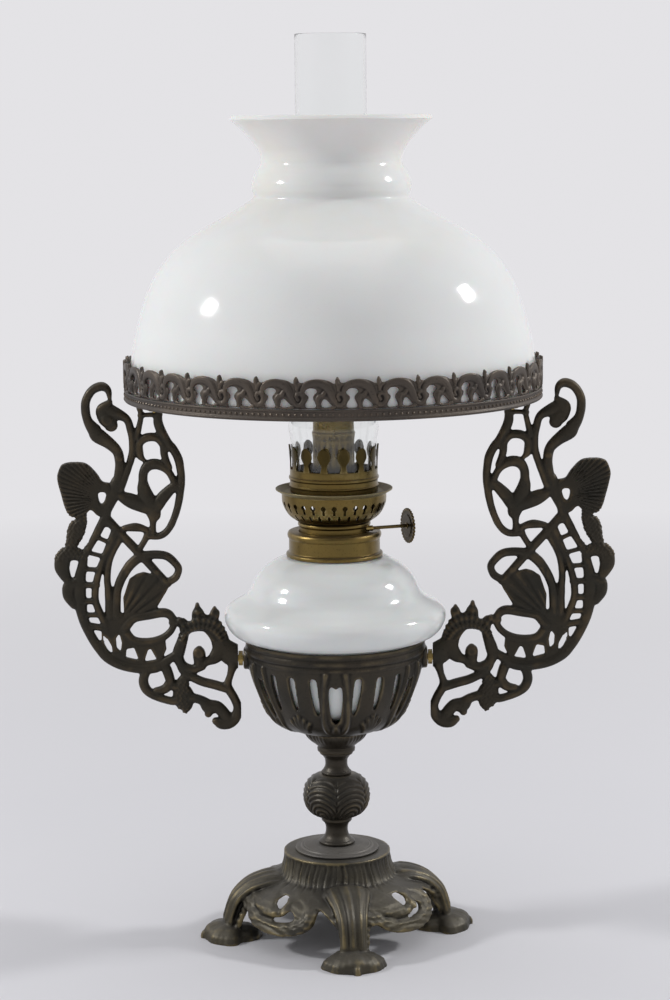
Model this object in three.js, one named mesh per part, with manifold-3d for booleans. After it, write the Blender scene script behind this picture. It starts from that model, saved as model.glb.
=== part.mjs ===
// A table kerosene lamp: a fluted foot, a turned stem and a pierced basket that holds an opal oil font, a brass
// round-wick burner with its chimney, and two pierced scroll arms that carry a ring with an opal dome shade.
// Millimetres, +Z up, the origin on the floor in the middle of the feet, the arms along X.
import * as THREE from "three";
import { mergeVertices } from "three/addons/utils/BufferGeometryUtils.js";
import Module from "manifold-3d";

const wasm = await Module();
wasm.setup();
const degrees = THREE.MathUtils.degToRad;
const mix = THREE.MathUtils.lerp;

// Clearances, cuts and steps
const gap = 0.3; // between a piece and the one that it seats on or runs in
const overrun = 3; // how far a cut runs past what it cuts
const weld = 0.0005; // vertices closer than this are one

// Foot and stem
const footHeight = 50.5;
const footTopRadius = 31;
const footSkirtRadius = 36;
const footWall = 3.6;
const footPlate = 4.5;
const legCount = 4;
const legTurnDegrees = 8;
const legReach = 69;
const legWidth = 17;
const legThickness = 6.5;
const footPadWidth = 38;
const footPadHeight = 11;
const toeReach = 81.6;
const scrollTopRadius = 42;
const scrollFootRadius = 57;
const scrollTop = 38;
const scrollBottom = 12;
const scrollWidth = 8;
const scrollDepth = 5.6;
const discRadius = 24.5;
const discHeight = 3.2;
const lowerSpoolRadius = 10.6;
const lowerSpoolHeight = 15.9;
const knopRadius = 19.8;
const knopHeight = 25.5;
const knopLeaves = 6;
const knopRelief = 0.7;
const upperSpoolRadius = 10.8;
const upperSpoolHeight = 13.4;
const calyxRadius = 19.8;
const calyxHeight = 12.5;
const calyxLeaves = 8;
const calyxRelief = 1.1;
const rodRadius = 3.5;
const rodNutWidth = 12;
const rodNutHeight = 4;
const rodWasherRadius = 11;
const rodWasherHeight = 1.6;
const rodEnd = 1.4; // how far the rod stands out of its nuts

// Basket
const basketRadius = 52.5;
const basketHeight = 54.9;
const basketWall = 2.8;
const basketFloor = 3;
const basketRimHeight = 9.7;
const basketGroups = 6; // of one wide opening and three narrow ones
const openingsOfGroup = 4;
const basketWideOpening = 7.8;
const basketNarrowOpening = 4.3;
const basketOpeningTop = 14.7; // below the top of the rim
const basketOpeningBottom = 43; // below the top of the rim
const bossRadius = 6.5;
const bossDrop = 12.2; // the middle of the boss below the top of the rim
const bossReach = 1.2; // how far the boss stands out past the rim

// Arms and shade ring
const armHeight = 153;
const armThickness = 5.6;
const armLeafShare = 0.7; // of the thickness, where the casting is a leaf
const strandWidth = 5.2;
const armInset = 13.5; // the arm's reach ends this far inside the ring
const armFontClearance = 1.4;
const studRadius = 2;
const studHeadRadius = 4.4;
const studHeadHeight = 2.4;
const studDepth = 4; // thread in the basket's boss
const studGrip = 5; // thread in the arm
const topScrewRadius = 1.7;
const topNutRadius = 3.9;
const topNutHeight = 7.2;
const topScrewGrip = 2.2;
const ringRadius = 120;
const ringHeight = 6.4;
const ringWall = 1.6;
const ringLedge = 9; // width of the ledge that the shade stands on
const ringFloor = 2.2;
const lugWidth = 12;
const lugThickness = 2.4;
const crownHeight = 18.2;
const crownThickness = 1.4;
const crownRepeats = 34;
const crownArchShare = 0.86;
const crownTurnDegrees = 6;
const lugMargin = 1.4;

// Shade
const shadeNeckRise = 110.7; // from the foot of the dome up to its neck
const shadeNeckHeight = 20;
const shadeFlareHeight = 25;
const shadeNeckRadius = 40;
const shadeRimRadius = 56.5;
const shadeWall = 2.8;
const shadeFitting = 1.1; // between the dome's foot and the wall of the ring

// Font and collar
const fontRadius = 64.6;
const fontBellyRise = 13; // from the seat up to the widest place
const fontShoulderRise = 35; // from the widest place up to the collar's seat
const fontNeckHeight = 7.6;
const fontWall = 3;
const fontBasinClearance = 2.2; // over the end of the tie rod
const collarRadius = 26.3;
const collarWall = 0.9;
const collarFlange = 28;
const collarHeight = 14.4;
const collarSkirt = 11.2;

// Burner
const neckRadius = 20.2;
const neckWall = 1;
const neckRise = 5.6; // of the neck over the collar
const neckFloor = 0.9;
const threadDepth = 11;
const bowlRadius = 30.2;
const bowlHeight = 15.6;
const bowlWall = 0.9;
const bowlSlots = 30;
const bowlSlotWidth = 2.6;
const bowlSlotHeight = 5.4;
const plateRadius = 33.8;
const plateRise = 2.4;
const plateWall = 0.9;
const plateHole = 19;
const crownBandHeight = 13.5;
const crownBandRadius = 25.4;
const crownBandWall = 0.9;
const prongCount = 14;
const prongHeight = 14;
const prongStem = 3.4;
const prongHead = 7.4;
const wickTubeRadius = 12.3;
const wickTubeTopRadius = 11.7;
const wickTubeWall = 0.9;
const wickTubeHeight = 79;
const wickTubeDip = 10; // below the top of the neck
const wickTubeBead = 0.7;
const wickThickness = 1.7;
const wickSink = 2; // of the wick below the mouth of its tube, at rest
const wickTail = 88;
const wickSeamDegrees = 50;
const wickTailDegrees = 120;
const draughtTubeWall = 0.7;
const draughtTubeSink = 8;
const draughtWebWidth = 3;
const draughtWebHeight = 20;
const shaftRadius = 1;
const shaftOffset = 13.2;
const shaftTurnDegrees = 21;
const shaftRise = 2; // over the collar
const shaftEnd = 1; // past the knob
const wheelTeeth = 12;
const wheelThickness = 2;
const wheelSpacing = 5;
const wheelToothDepth = 0.6;
const glandRadius = 1.6;
const glandReach = 18.5;
const knobRadius = 10.3;
const knobThickness = 1.6;
const knobTeeth = 26;
const knobToothDepth = 0.7;
const knobReach = 40.6;

// Chimney
const chimneyHeight = 259.8;
const chimneyRadius = 20.2;
const chimneyBulge = 25.9;
const chimneyWall = 1.4;
const chimneyShoulderRise = 50;

// Levels, from the floor up
const discBottom = footHeight + gap;
const lowerSpoolBottom = discBottom + discHeight + gap;
const knopBottom = lowerSpoolBottom + lowerSpoolHeight + gap;
const upperSpoolBottom = knopBottom + knopHeight + gap;
const calyxBottom = upperSpoolBottom + upperSpoolHeight + gap;
const basketBottom = calyxBottom + calyxHeight + gap;
const basketTop = basketBottom + basketHeight;
const armRoot = basketTop - bossDrop;
const ringBottom = armRoot + armHeight;
const ringTop = ringBottom + ringHeight;
const shadeBottom = ringBottom + ringFloor + gap;
const fontSeat = basketTop + gap;
const fontBelly = fontSeat + fontBellyRise;
const fontNeck = fontBelly + fontShoulderRise;
const fontTop = fontNeck + fontNeckHeight;
const collarBottom = fontNeck + gap;
const collarTop = collarBottom + collarHeight;
const neckTop = collarTop + neckRise;
const bowlBottom = neckTop + gap;
const bowlTop = bowlBottom + bowlHeight;
const plateBottom = bowlTop + gap;
const chimneyBottom = plateBottom + plateWall + gap;
const crownBandTop = chimneyBottom + crownBandHeight;
const wickTubeBottom = neckTop - wickTubeDip;
const wickTubeTop = wickTubeBottom + wickTubeHeight;
const wickTop = wickTubeTop - wickSink;
const shaftLevel = collarTop + shaftRise;

// Radii and reaches that follow from the sizes above
const armOrigin = basketRadius;
const armReach = ringRadius - armInset - armOrigin;
const bossFace = basketRadius + bossReach;
const studFace = bossFace + gap + studHeadHeight;
const armFace = studFace + gap;
const rodHole = rodRadius + gap;
const basketSides = basketGroups * openingsOfGroup;
const basketMouth = basketRadius - basketWall;
const fontBasinRadius = basketMouth * Math.cos(Math.PI / basketSides) - gap; // clear of the mouth's flat sides
const fontNeckRadius = collarRadius - collarWall - gap;
const wickOuter = wickTubeTopRadius - wickTubeWall - gap;
const wickInner = wickOuter - wickThickness;
const draughtOuter = wickInner - gap;
const wheelRadius = shaftOffset - wickOuter - gap;
const topScrewReach = ringRadius - armInset - topNutRadius - gap;
const shaftTurn = degrees(shaftTurnDegrees);
const neckInner = neckRadius - neckWall;
const crownInner = crownBandRadius - crownBandWall;
const chimneyFootRadius = crownInner - gap;

// A closed mesh as a solid
function solid(geometry) {
  const bare = new THREE.BufferGeometry();
  bare.setAttribute("position", geometry.getAttribute("position").clone());
  if (geometry.index) bare.setIndex(geometry.index.clone());
  const merged = mergeVertices(bare, weld);
  const triVerts = [];
  for (let i = 0; i < merged.index.count; i += 3) {
    const [a, b, c] = [merged.index.getX(i), merged.index.getX(i + 1), merged.index.getX(i + 2)];
    if (a !== b && b !== c && c !== a) triVerts.push(a, b, c);
  }
  const vertProperties = merged.attributes.position.array;
  const faces = new Uint32Array(triVerts);
  return new wasm.Manifold(new wasm.Mesh({ numProp: 3, vertProperties, triVerts: faces }));
}

function geometryOf(body) {
  const { numProp, vertProperties, triVerts } = body.getMesh();
  const geometry = new THREE.BufferGeometry();
  const points = vertProperties.filter((value, i) => i % numProp < 3);
  geometry.setAttribute("position", new THREE.BufferAttribute(new Float32Array(points), 3));
  geometry.setIndex(new THREE.BufferAttribute(triVerts, 1));
  return geometry;
}

const joined = (bodies) => bodies.reduce((all, body) => all.add(body));
const cutBy = (body, cuts) => cuts.reduce((left, cut) => left.subtract(cut), body);

// A solid moved by a turn about Z and then a shift
function moved(body, { turn = 0, x = 0, y = 0, z = 0 }) {
  const matrix = new THREE.Matrix4().makeRotationZ(turn).setPosition(x, y, z);
  return solid(geometryOf(body).applyMatrix4(matrix));
}

const ringOf = (count, make) => Array.from({ length: count }, (_, i) => make(i, (i * 2 * Math.PI) / count));

// Outline points between two corners, from shares of the way across and of the way along
const between = ([x0, y0], [x1, y1], shares) => shares.map(([x, y]) => [mix(x0, x1, x), mix(y0, y1, y)]);

// The same outline moved inwards by a wall, towards the left of its direction
function offset(points, wall) {
  return points.map((point, i) => {
    const [ax, ay] = points[Math.max(i - 1, 0)];
    const [bx, by] = points[Math.min(i + 1, points.length - 1)];
    const length = Math.hypot(bx - ax, by - ay);
    const x = point[0] - ((by - ay) / length) * wall;
    return [point[0] === 0 ? 0 : x, point[1] + ((bx - ax) / length) * wall];
  });
}

// A solid of revolution about Z from a closed outline of radius and height, with an optional lobed relief
function turned(outline, segments, relief = null) {
  const points = outline.map(([r, z]) => new THREE.Vector2(r, z));
  if (THREE.ShapeUtils.area(points) < 0) points.reverse();
  points.push(points[0].clone());
  const geometry = new THREE.LatheGeometry(points, segments).rotateX(Math.PI / 2);
  if (relief) {
    const place = geometry.getAttribute("position");
    for (let i = 0; i < place.count; i += 1) {
      const [x, y, z] = [place.getX(i), place.getY(i), place.getZ(i)];
      const radius = Math.hypot(x, y);
      if (radius <= relief.above) continue;
      const stretch = 1 + relief.height(Math.atan2(y, x), z) / radius;
      place.setXY(i, x * stretch, y * stretch);
    }
  }
  return solid(geometry);
}

const disc = (radius, bottom, top, segments, hole = 0) =>
  turned([[hole, bottom], [radius, bottom], [radius, top], [hole, top]], segments);

// A flat plate in the X-Z plane, centred on Y
function plate(outline, thickness) {
  const shape = new THREE.Shape(outline.map(([x, z]) => new THREE.Vector2(x, z)));
  const geometry = new THREE.ExtrudeGeometry(shape, { depth: thickness, bevelEnabled: false });
  return solid(geometry.translate(0, 0, -thickness / 2).rotateX(Math.PI / 2));
}

// A box between two corners
function box([x0, y0, z0], [x1, y1, z1]) {
  const geometry = new THREE.BoxGeometry(x1 - x0, y1 - y0, z1 - z0);
  return solid(geometry.translate((x0 + x1) / 2, (y0 + y1) / 2, (z0 + z1) / 2));
}

// A round rod along X
const rodAlongX = (radius, from, to, segments) =>
  solid(
    new THREE.CylinderGeometry(radius, radius, to - from, segments)
      .rotateZ(Math.PI / 2)
      .translate((from + to) / 2, 0, 0),
  );

// A bar through stations, each with a centre and the half axes of its oval section
function bar(stations, sides) {
  const vertices = [];
  stations.forEach(({ centre, side, up }) => {
    for (let i = 0; i < sides; i += 1) {
      const angle = (i * 2 * Math.PI) / sides;
      const point = centre.clone();
      point.addScaledVector(side, Math.cos(angle)).addScaledVector(up, Math.sin(angle));
      vertices.push(point.x, point.y, point.z);
    }
  });
  const [first, second] = stations;
  const ahead = second.centre.clone().sub(first.centre);
  const outward = first.side.clone().cross(first.up).dot(ahead) > 0;
  const triangles = [];
  const add = (a, b, c) => triangles.push(...(outward ? [a, b, c] : [a, c, b]));
  for (let ring = 0; ring < stations.length - 1; ring += 1) {
    for (let i = 0; i < sides; i += 1) {
      const next = (i + 1) % sides;
      const [a, b] = [ring * sides + i, ring * sides + next];
      add(a, b, b + sides);
      add(a, b + sides, a + sides);
    }
  }
  const last = (stations.length - 1) * sides;
  for (let i = 1; i < sides - 1; i += 1) {
    add(0, i + 1, i);
    add(last, last + i, last + i + 1);
  }
  const geometry = new THREE.BufferGeometry();
  geometry.setAttribute("position", new THREE.Float32BufferAttribute(vertices, 3));
  geometry.setIndex(triangles);
  return solid(geometry);
}

// Directions along a row of points, each from its neighbours
const directions = (points) =>
  points.map((_, i) => {
    const before = points[Math.max(i - 1, 0)];
    const after = points[Math.min(i + 1, points.length - 1)];
    return after.clone().sub(before).normalize();
  });

// Foot: the fluted bell, four legs with spreading feet, and pierced scrolls between the legs
const skirtShare = 0.35; // of the foot's height, down to where the skirt meets the legs' flare
const skirtShares = [[0, 0], [0.1, 0.14], [0.62, 0.72], [1.7, 1.25]];
const skirtHeight = footHeight * skirtShare;
const legLineShares = [[0, 0.74, 1.5], [0.46, 0.7, 1.08], [0.7, 0.6, 0.93], [0.9, 0.42, 0.95], [0.98, 0.28, 1.05],
  [1, 0.08, 1.2]];
const padShares = [[0, 0.62, 0.55], [0.25, 0.95, 1], [0.6, 1, 0.9], [0.88, 0.78, 0.52], [1, 0.5, 0.3]];
const scrollShares = [[0.06, 0.62, 1.1], [0.2, 0.34, 1], [0.32, 0.2, 0.9], [0.47, 0.14, 0.9], [0.62, 0.23, 0.9],
  [0.725, 0.47, 0.9], [0.7, 0.74, 0.85], [0.6, 0.87, 0.8], [0.51, 0.74, 0.7], [0.5, 0.52, 0.65],
  [0.56, 0.38, 0.5]];
const browShares = [[0, 0.8, 1.2], [0.25, 0.94, 1.1], [0.5, 0.98, 1.05], [0.75, 0.94, 1.1], [1, 0.8, 1.2]];
const leafShares = [[0.06, 0.64, 1], [0.22, 0.68, 1.3], [0.4, 0.54, 0.7]];
const archShares = [[0.55, 0.88, 0.9], [0.75, 0.77, 1], [0.88, 0.55, 1], [0.95, 0.28, 0.9],
  [0.97, -0.05, 0.8]];
const besidePower = 6; // how quickly a web leaves the line of the legs
const scrollBowPower = 1.6; // how fully a web bows out below the skirt
const gapAngle = (2 * Math.PI) / legCount;

const legLine = () => legLineShares.map(([out, up]) => {
  return new THREE.Vector3(mix(footTopRadius - footWall, legReach, out), 0, up * footHeight);
});

// How far out the legs stand at a height
function legRadiusAt(height) {
  const line = legLine();
  const i = Math.max(line.findIndex((point) => point.z <= height), 1);
  const [over, under] = [line[i - 1], line[i]];
  return mix(over.x, under.x, Math.min((over.z - height) / (over.z - under.z), 1));
}

// A point of a scroll between two legs, by its shares of the way round and of the height: the web bows in
// between the legs and follows their line beside them
function scrollPoint(around, up) {
  const angle = around * gapAngle;
  const height = mix(scrollBottom, scrollTop, up);
  const beside = Math.abs(2 * around - 1) ** besidePower;
  const bow = mix(scrollFootRadius, scrollTopRadius, Math.max(up, 0) ** scrollBowPower);
  const radius = mix(bow, legRadiusAt(height), beside);
  return new THREE.Vector3(radius * Math.cos(angle), radius * Math.sin(angle), height);
}

function scroll(shares) {
  const points = shares.map(([around, up]) => scrollPoint(around, up));
  const ways = directions(points);
  return bar(
    points.map((centre, i) => {
      const outward = new THREE.Vector3(centre.x, centre.y, 0).normalize();
      const across = outward.clone().cross(ways[i]).normalize();
      const side = across.multiplyScalar((scrollWidth * shares[i][2]) / 2);
      const up = outward.multiplyScalar(scrollDepth / 2);
      return { centre, side: side.clone().add(up), up: up.clone().sub(side) };
    }),
    4,
  );
}

function leg() {
  const points = legLine();
  const ways = directions(points);
  const shank = bar(
    points.map((centre, i) => {
      const up = new THREE.Vector3(-ways[i].z, 0, ways[i].x).multiplyScalar(legThickness / 2);
      return { centre, side: new THREE.Vector3(0, (legWidth * legLineShares[i][2]) / 2, 0), up };
    }),
    6,
  );
  const heel = legReach - legThickness;
  const pad = bar(
    padShares.map(([out, width, height]) => ({
      centre: new THREE.Vector3(mix(heel, toeReach, out), 0, 0),
      side: new THREE.Vector3(0, (footPadWidth * width) / 2, 0),
      up: new THREE.Vector3(0, 0, footPadHeight * height),
    })),
    8,
  );
  return shank.add(pad);
}

function footCasting() {
  const skirtFoot = [footSkirtRadius, footHeight - skirtHeight];
  const outer = between([footTopRadius, footHeight], skirtFoot, skirtShares);
  const inner = offset(outer.slice(1), -footWall).reverse();
  const under = footHeight - footPlate;
  inner.pop();
  const top = [[footTopRadius - footWall, under], [0, under], [0, footHeight]];
  const bell = turned([...outer, ...inner, ...top], 20);
  const turnOf = (i) => i * gapAngle + degrees(legTurnDegrees);
  const legs = ringOf(legCount, (i) => moved(leg(), { turn: turnOf(i) }));
  const scrolls = joined([scrollShares, browShares, leafShares, archShares].map(scroll));
  const webs = ringOf(legCount, (i) => moved(scrolls, { turn: turnOf(i) }));
  const room = disc(footTopRadius - footWall, -footHeight, under, 20);
  const below = box([-toeReach * 2, -toeReach * 2, -footHeight], [toeReach * 2, toeReach * 2, 0]);
  const bore = disc(rodHole, -overrun, footHeight + overrun, 12);
  return cutBy(joined([bell, ...legs, ...webs]), [room, below, bore]);
}

// Stem pieces: turned outlines with the tie rod's hole
const discShares = [[0.92, 1], [1, 0.7], [1, 0]];
const lowerSpoolShares = [[0.82, 1], [0.71, 0.86], [0.61, 0.66], [0.62, 0.42], [0.76, 0.18], [1, 0.05],
  [1, 0]];
const knopShares = [[0.5, 1], [0.73, 0.9], [0.93, 0.73], [1, 0.5], [0.93, 0.3], [0.75, 0.14], [0.46, 0]];
const upperSpoolShares = [[0.9, 1], [0.88, 0.92], [0.62, 0.7], [0.6, 0.42], [0.7, 0.12], [0.82, 0]];
const calyxShares = [[1, 1], [0.9, 0.66], [0.66, 0.34], [0.56, 0.28], [0.56, 0]];

function stemPiece(shares, radius, bottom, height, segments, relief = null) {
  const outer = between([0, bottom], [radius, bottom + height], shares);
  return turned([...outer, [rodHole, bottom], [rodHole, bottom + height]], segments, relief);
}

const leaves = (count, height) => (angle) => height * Math.cos(angle * count);
const knop = () =>
  stemPiece(knopShares, knopRadius, knopBottom, knopHeight, knopLeaves * 4, {
    above: knopRadius * 0.6,
    height: (angle, z) => leaves(knopLeaves, knopRelief)(angle + ((z - knopBottom) / knopHeight) * 0.8),
  });
const calyx = () =>
  stemPiece(calyxShares, calyxRadius, calyxBottom, calyxHeight, calyxLeaves * 4, {
    above: calyxRadius * 0.6,
    height: leaves(calyxLeaves, calyxRelief),
  });

// Tie rod, its washer and nuts
const basketFloorTop = basketBottom + basketFloor;
const footUnder = footHeight - footPlate;
const washerTop = footUnder - gap;
const baseNutTop = washerTop - rodWasherHeight - gap;
const topNutBottom = basketFloorTop + gap;
const hexNut = (top, height) =>
  disc(rodNutWidth / Math.sqrt(3), top - height, top, 6).subtract(disc(rodHole, top - height - overrun, top + overrun, 16));

function tieRod() {
  const bottom = baseNutTop - rodNutHeight - rodEnd;
  const top = topNutBottom + rodNutHeight + rodEnd;
  const point = [[rodRadius * 0.8, top], [rodRadius, top - rodEnd / 2]];
  return turned([[0, bottom], [rodRadius, bottom], ...point.reverse(), [0, top]], 16);
}

// Basket: a pierced bowl with a stepped rim band and a boss for each arm
const bowlShares = [[0.965, 0.81], [0.955, 0.72], [0.905, 0.5], [0.8, 0.3], [0.715, 0.15], [0.6, 0.075],
  [0.38, 0]];
const rimShares = [[1, 1], [1, 0.6], [0.97, 0.5], [0.98, 0.02]];

// Each opening of a group: the shares of the pierced band at its top and at its foot
const openingShares = [[0.14, 1], [0, 0.8], [0, 0.72], [0, 0.8]];
const openingOutlineShares = [[-0.5, 0], [0.5, 0], [0.4, -0.7], [0, -1], [-0.4, -0.7]];

function openingCut(width, top, depth, turn) {
  const outline = openingOutlineShares.map(([x, z]) => [x * width, top + z * depth]);
  return moved(moved(plate(outline, basketRadius), { y: -basketRadius }), { turn });
}

function basket() {
  const rim = between([0, basketTop - basketRimHeight], [basketRadius, basketTop], rimShares);
  const bowl = between([0, basketBottom], [basketRadius, basketTop], bowlShares);
  const inner = offset(bowl.slice(1), -basketWall).filter(([, z]) => z > basketFloorTop);
  const lowest = inner[inner.length - 1];
  const outline = [...rim, ...bowl, [rodHole, basketBottom], [rodHole, basketFloorTop],
    [lowest[0] * 0.8, basketFloorTop], ...inner.reverse(), [basketMouth, bowl[0][1]],
    [basketMouth, basketTop]];
  const shell = moved(turned(outline, basketSides), { turn: Math.PI / basketSides });
  const depth = basketOpeningBottom - basketOpeningTop;
  const cuts = ringOf(basketSides, (i, turn) => {
    const [top, foot] = openingShares[i % openingsOfGroup];
    const width = i % openingsOfGroup ? basketNarrowOpening : basketWideOpening;
    return openingCut(width, basketTop - basketOpeningTop - top * depth, (foot - top) * depth, turn);
  });
  const reach = basketRadius + bossReach;
  const boss = moved(rodAlongX(bossRadius, basketMouth, reach, 12), { z: armRoot });
  const tap = moved(rodAlongX(studRadius + gap, reach - studDepth - gap, reach + overrun, 8), { z: armRoot });
  const bosses = [0, Math.PI].map((turn) => moved(boss, { turn }));
  const taps = [0, Math.PI].map((turn) => moved(tap, { turn }));
  return cutBy(joined([cutBy(shell, cuts), ...bosses]), taps);
}

// Arm: strands and leaves of one flat casting. Each strand is a row of shares of the arm's reach, of its height
// and of the strand width; the root is at the basket's boss and the height ends under the shade ring.
const strandShares = {
  topHook: [[1.345, 0.995, 0.4], [1.36, 1.03, 0.8], [1.43, 1.045, 1.05], [1.53, 1.03, 1], [1.6, 0.99, 1],
    [1.59, 0.914, 1.1], [1.53, 0.88, 1.6]],
  topBall: [[1.35, 0.985, 0.7], [1.42, 0.955, 1.7], [1.38, 0.925, 2.2], [1.35, 0.9, 1.6]],
  outerStem: [[1.52, 0.882, 1.4], [1.5, 0.862, 1.8], [1.3, 0.8, 1.2], [1.28, 0.765, 1.1], [1.33, 0.666, 1]],
  innerStem: [[1.36, 0.95, 1.9], [1.19, 0.925, 1], [1.143, 0.88, 0.9], [1.146, 0.783, 0.85],
    [1.3, 0.655, 1.1]],
  spine: [[1.32, 0.68, 1.5], [1.45, 0.57, 1.05], [1.46, 0.53, 1.2]],
  forkTip: [[1.035, 0.982, 0.35], [1.025, 0.928, 0.6], [1.088, 0.85, 0.8]],
  forkSeat: [[1.04, 0.935, 0.5], [0.82, 0.938, 0.6]],
  innerEdge: [[0.8, 0.994, 0.7], [0.844, 0.902, 1.1], [0.65, 0.765, 1], [0.632, 0.702, 0.9],
    [0.678, 0.599, 0.85], [0.8, 0.5, 0.8], [0.9, 0.475, 0.8], [1.04, 0.475, 0.75]],
  upperArch: [[1.02, 0.765, 0.5], [1.06, 0.785, 0.95], [1.063, 0.827, 0.95], [0.98, 0.85, 1],
    [0.86, 0.848, 1], [0.78, 0.81, 1]],
  upperLink: [[0.803, 0.823, 0.9], [0.757, 0.735, 0.8]],
  lowerArch: [[1.045, 0.68, 1.05], [1.03, 0.72, 1.05], [0.966, 0.746, 1.25], [0.86, 0.747, 1.2],
    [0.757, 0.717, 0.85], [0.68, 0.655, 0.9]],
  leafMiddle: [[1.045, 0.69, 1], [0.97, 0.59, 1.9]],
  leafLeft: [[1.331, 0.64, 0.7], [1.152, 0.606, 1.8], [0.953, 0.578, 1.6]],
  leafRight: [[0.69, 0.67, 1], [0.953, 0.575, 1.6]],
  leafStem: [[0.95, 0.585, 1.6], [0.95, 0.553, 1.6], [0.962, 0.528, 0.8], [0.971, 0.485, 0.8]],
  middleHook: [[1.275, 0.505, 0.7], [1.071, 0.503, 0.85], [1.022, 0.486, 0.75], [1.11, 0.43, 0.7]],
  diagonal: [[1.436, 0.534, 1.1], [0.82, 0.29, 0.8]],
  loop: [[1.1, 0.4, 1], [0.83, 0.397, 0.95], [0.705, 0.345, 0.85], [0.74, 0.315, 0.9], [0.83, 0.295, 0.9]],
  firstStrand: [[1.1, 0.4, 1.2], [1.21, 0.369, 1.15], [1.34, 0.297, 1.05], [1.39, 0.17, 1.2]],
  secondStrand: [[1.33, 0.47, 1], [1.419, 0.408, 0.8], [1.472, 0.31, 0.8], [1.45, 0.17, 1.1]],
  innerRail: [[1.37, 0.49, 1.1], [1.6, 0.28, 0.85], [1.605, 0.23, 0.85], [1.49, 0.13, 1]],
  outerRail: [[1.47, 0.55, 1], [1.706, 0.406, 0.9], [1.815, 0.28, 2.2], [1.73, 0.17, 1.1],
    [1.566, 0.01, 1.1]],
  rungs: [
    [[1.593, 0.476, 0.5], [1.436, 0.45, 0.5]],
    [[1.674, 0.413, 0.5], [1.495, 0.397, 0.5]],
    [[1.72, 0.35, 0.55], [1.543, 0.346, 0.55]],
    [[1.74, 0.289, 0.7], [1.581, 0.287, 0.7]],
    [[1.74, 0.226, 0.75], [1.598, 0.226, 0.75]],
    [[1.7, 0.173, 0.6], [1.562, 0.172, 0.6]],
    [[1.67, 0.13, 0.8], [1.5, 0.12, 0.8]],
  ],
  upperKnot: [[1.72, 0.56, 1.2], [1.78, 0.505, 2.1], [1.85, 0.445, 1.4]],
  lowerKnot: [[2.05, 0.415, 0.5], [1.965, 0.419, 1.7], [1.73, 0.4, 1.3]],
  knotStem: [[1.94, 0.405, 1.4], [1.85, 0.305, 1.4]],
  oval: [[1.04, 0.168, 1.2], [0.895, 0.179, 1.1], [0.81, 0.171, 1], [0.765, 0.142, 0.85], [0.8, 0.115, 0.8],
    [1.073, 0.089, 0.9]],
  sweep: [[1.61, 0.012, 0.8], [1.55, 0.004, 1.4], [1.42, 0.005, 1.25], [1.05, -0.026, 1.3],
    [0.93, -0.022, 1.3], [0.76, 0.014, 0.9]],
  link: [[0.78, 0.14, 0.9], [0.685, 0.141, 1.2], [0.64, 0.11, 1]],
  outerCurl: [[0.65, 0.115, 1.1], [0.725, 0.005, 1.3], [0.68, -0.027, 1.15], [0.58, -0.042, 1.1],
    [0.47, -0.03, 1]],
  innerCurl: [[0.66, 0.1, 1.1], [0.49, 0.135, 1.8], [0.38, 0.132, 2.2], [0.29, 0.09, 2.1], [0.265, 0.04, 2],
    [0.332, 0.003, 1.5], [0.5, -0.03, 0.95]],
  curlEye: [[0.505, -0.03, 1], [0.498, 0.018, 1.5], [0.497, 0.035, 0.9]],
  firstCrest: [[0.5, 0.155, 1.5], [0.508, 0.208, 0.5]],
  secondCrest: [[0.34, 0.14, 1.3], [0.32, 0.194, 0.5]],
  foot: [[0.27, 0.06, 1.8], [0.163, 0.02, 2.7], [-0.02, 0, 2.4]],
  under: [[0.13, -0.02, 1.3], [0.194, -0.11, 1], [0.09, -0.195, 1.05], [0.12, -0.232, 1.3],
    [0.19, -0.249, 1.6], [0.33, -0.245, 0.9]],
  crossBar: [[0.715, -0.01, 1], [0.66, -0.052, 1], [0.5, -0.086, 1.05], [0.19, -0.119, 1.1]],
  underCurl: [[0.2, -0.235, 1.4], [0.3, -0.193, 1.4], [0.4, -0.188, 1.7], [0.485, -0.163, 1.1],
    [0.63, -0.15, 1.2]],
  underLobe: [[0.385, -0.19, 1.4], [0.41, -0.216, 0.9]],
  underLeaf: [[0.655, -0.07, 1], [0.69, -0.105, 1.8], [0.675, -0.15, 2.5], [0.66, -0.19, 1.7],
    [0.66, -0.202, 0.8]],
  lowLoop: [[1.05, -0.03, 1.1], [1.104, -0.095, 1.15], [1.06, -0.126, 1.1], [0.8, -0.165, 0.95],
    [0.7, -0.158, 1.1]],
  lowEye: [[0.97, -0.124, 0.8], [0.877, -0.118, 1.1], [0.817, -0.09, 1.1], [0.854, -0.04, 1.2]],
  lowLink: [[0.84, -0.1, 1], [0.72, -0.115, 1.1]],
};
const shellShares = [[1.957, 0.7], [1.92, 0.742], [1.874, 0.755], [1.78, 0.76], [1.64, 0.754], [1.535, 0.717],
  [1.475, 0.685], [1.39, 0.67], [1.44, 0.57], [1.535, 0.553], [1.611, 0.577], [1.66, 0.566], [1.7, 0.545],
  [1.8, 0.548], [1.876, 0.57], [1.93, 0.644]];
const shellHoleShares = [[1.53, 0.64], [1.45, 0.642], [1.46, 0.615], [1.51, 0.6]];
const bigLeafShares = [[1.304, 0.24], [1.235, 0.311], [1.157, 0.33], [1.082, 0.337], [0.976, 0.3275], [0.806, 0.292],
  [0.823, 0.271], [0.934, 0.198], [0.96, 0.16], [1.3, 0.16]];
const apronShares = [[1.5, 0.165], [1.47, 0.18], [1.3, 0.18], [1, 0.185], [0.993, 0.16], [1.048, 0.1],
  [1.037, 0.082], [0.862, 0.081], [0.838, 0.037], [0.9, 0.0068], [1.011, -0.0144], [1.25, -0.0086],
  [1.43, 0.0143], [1.548, 0.0675], [1.5425, 0.124]];
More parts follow.
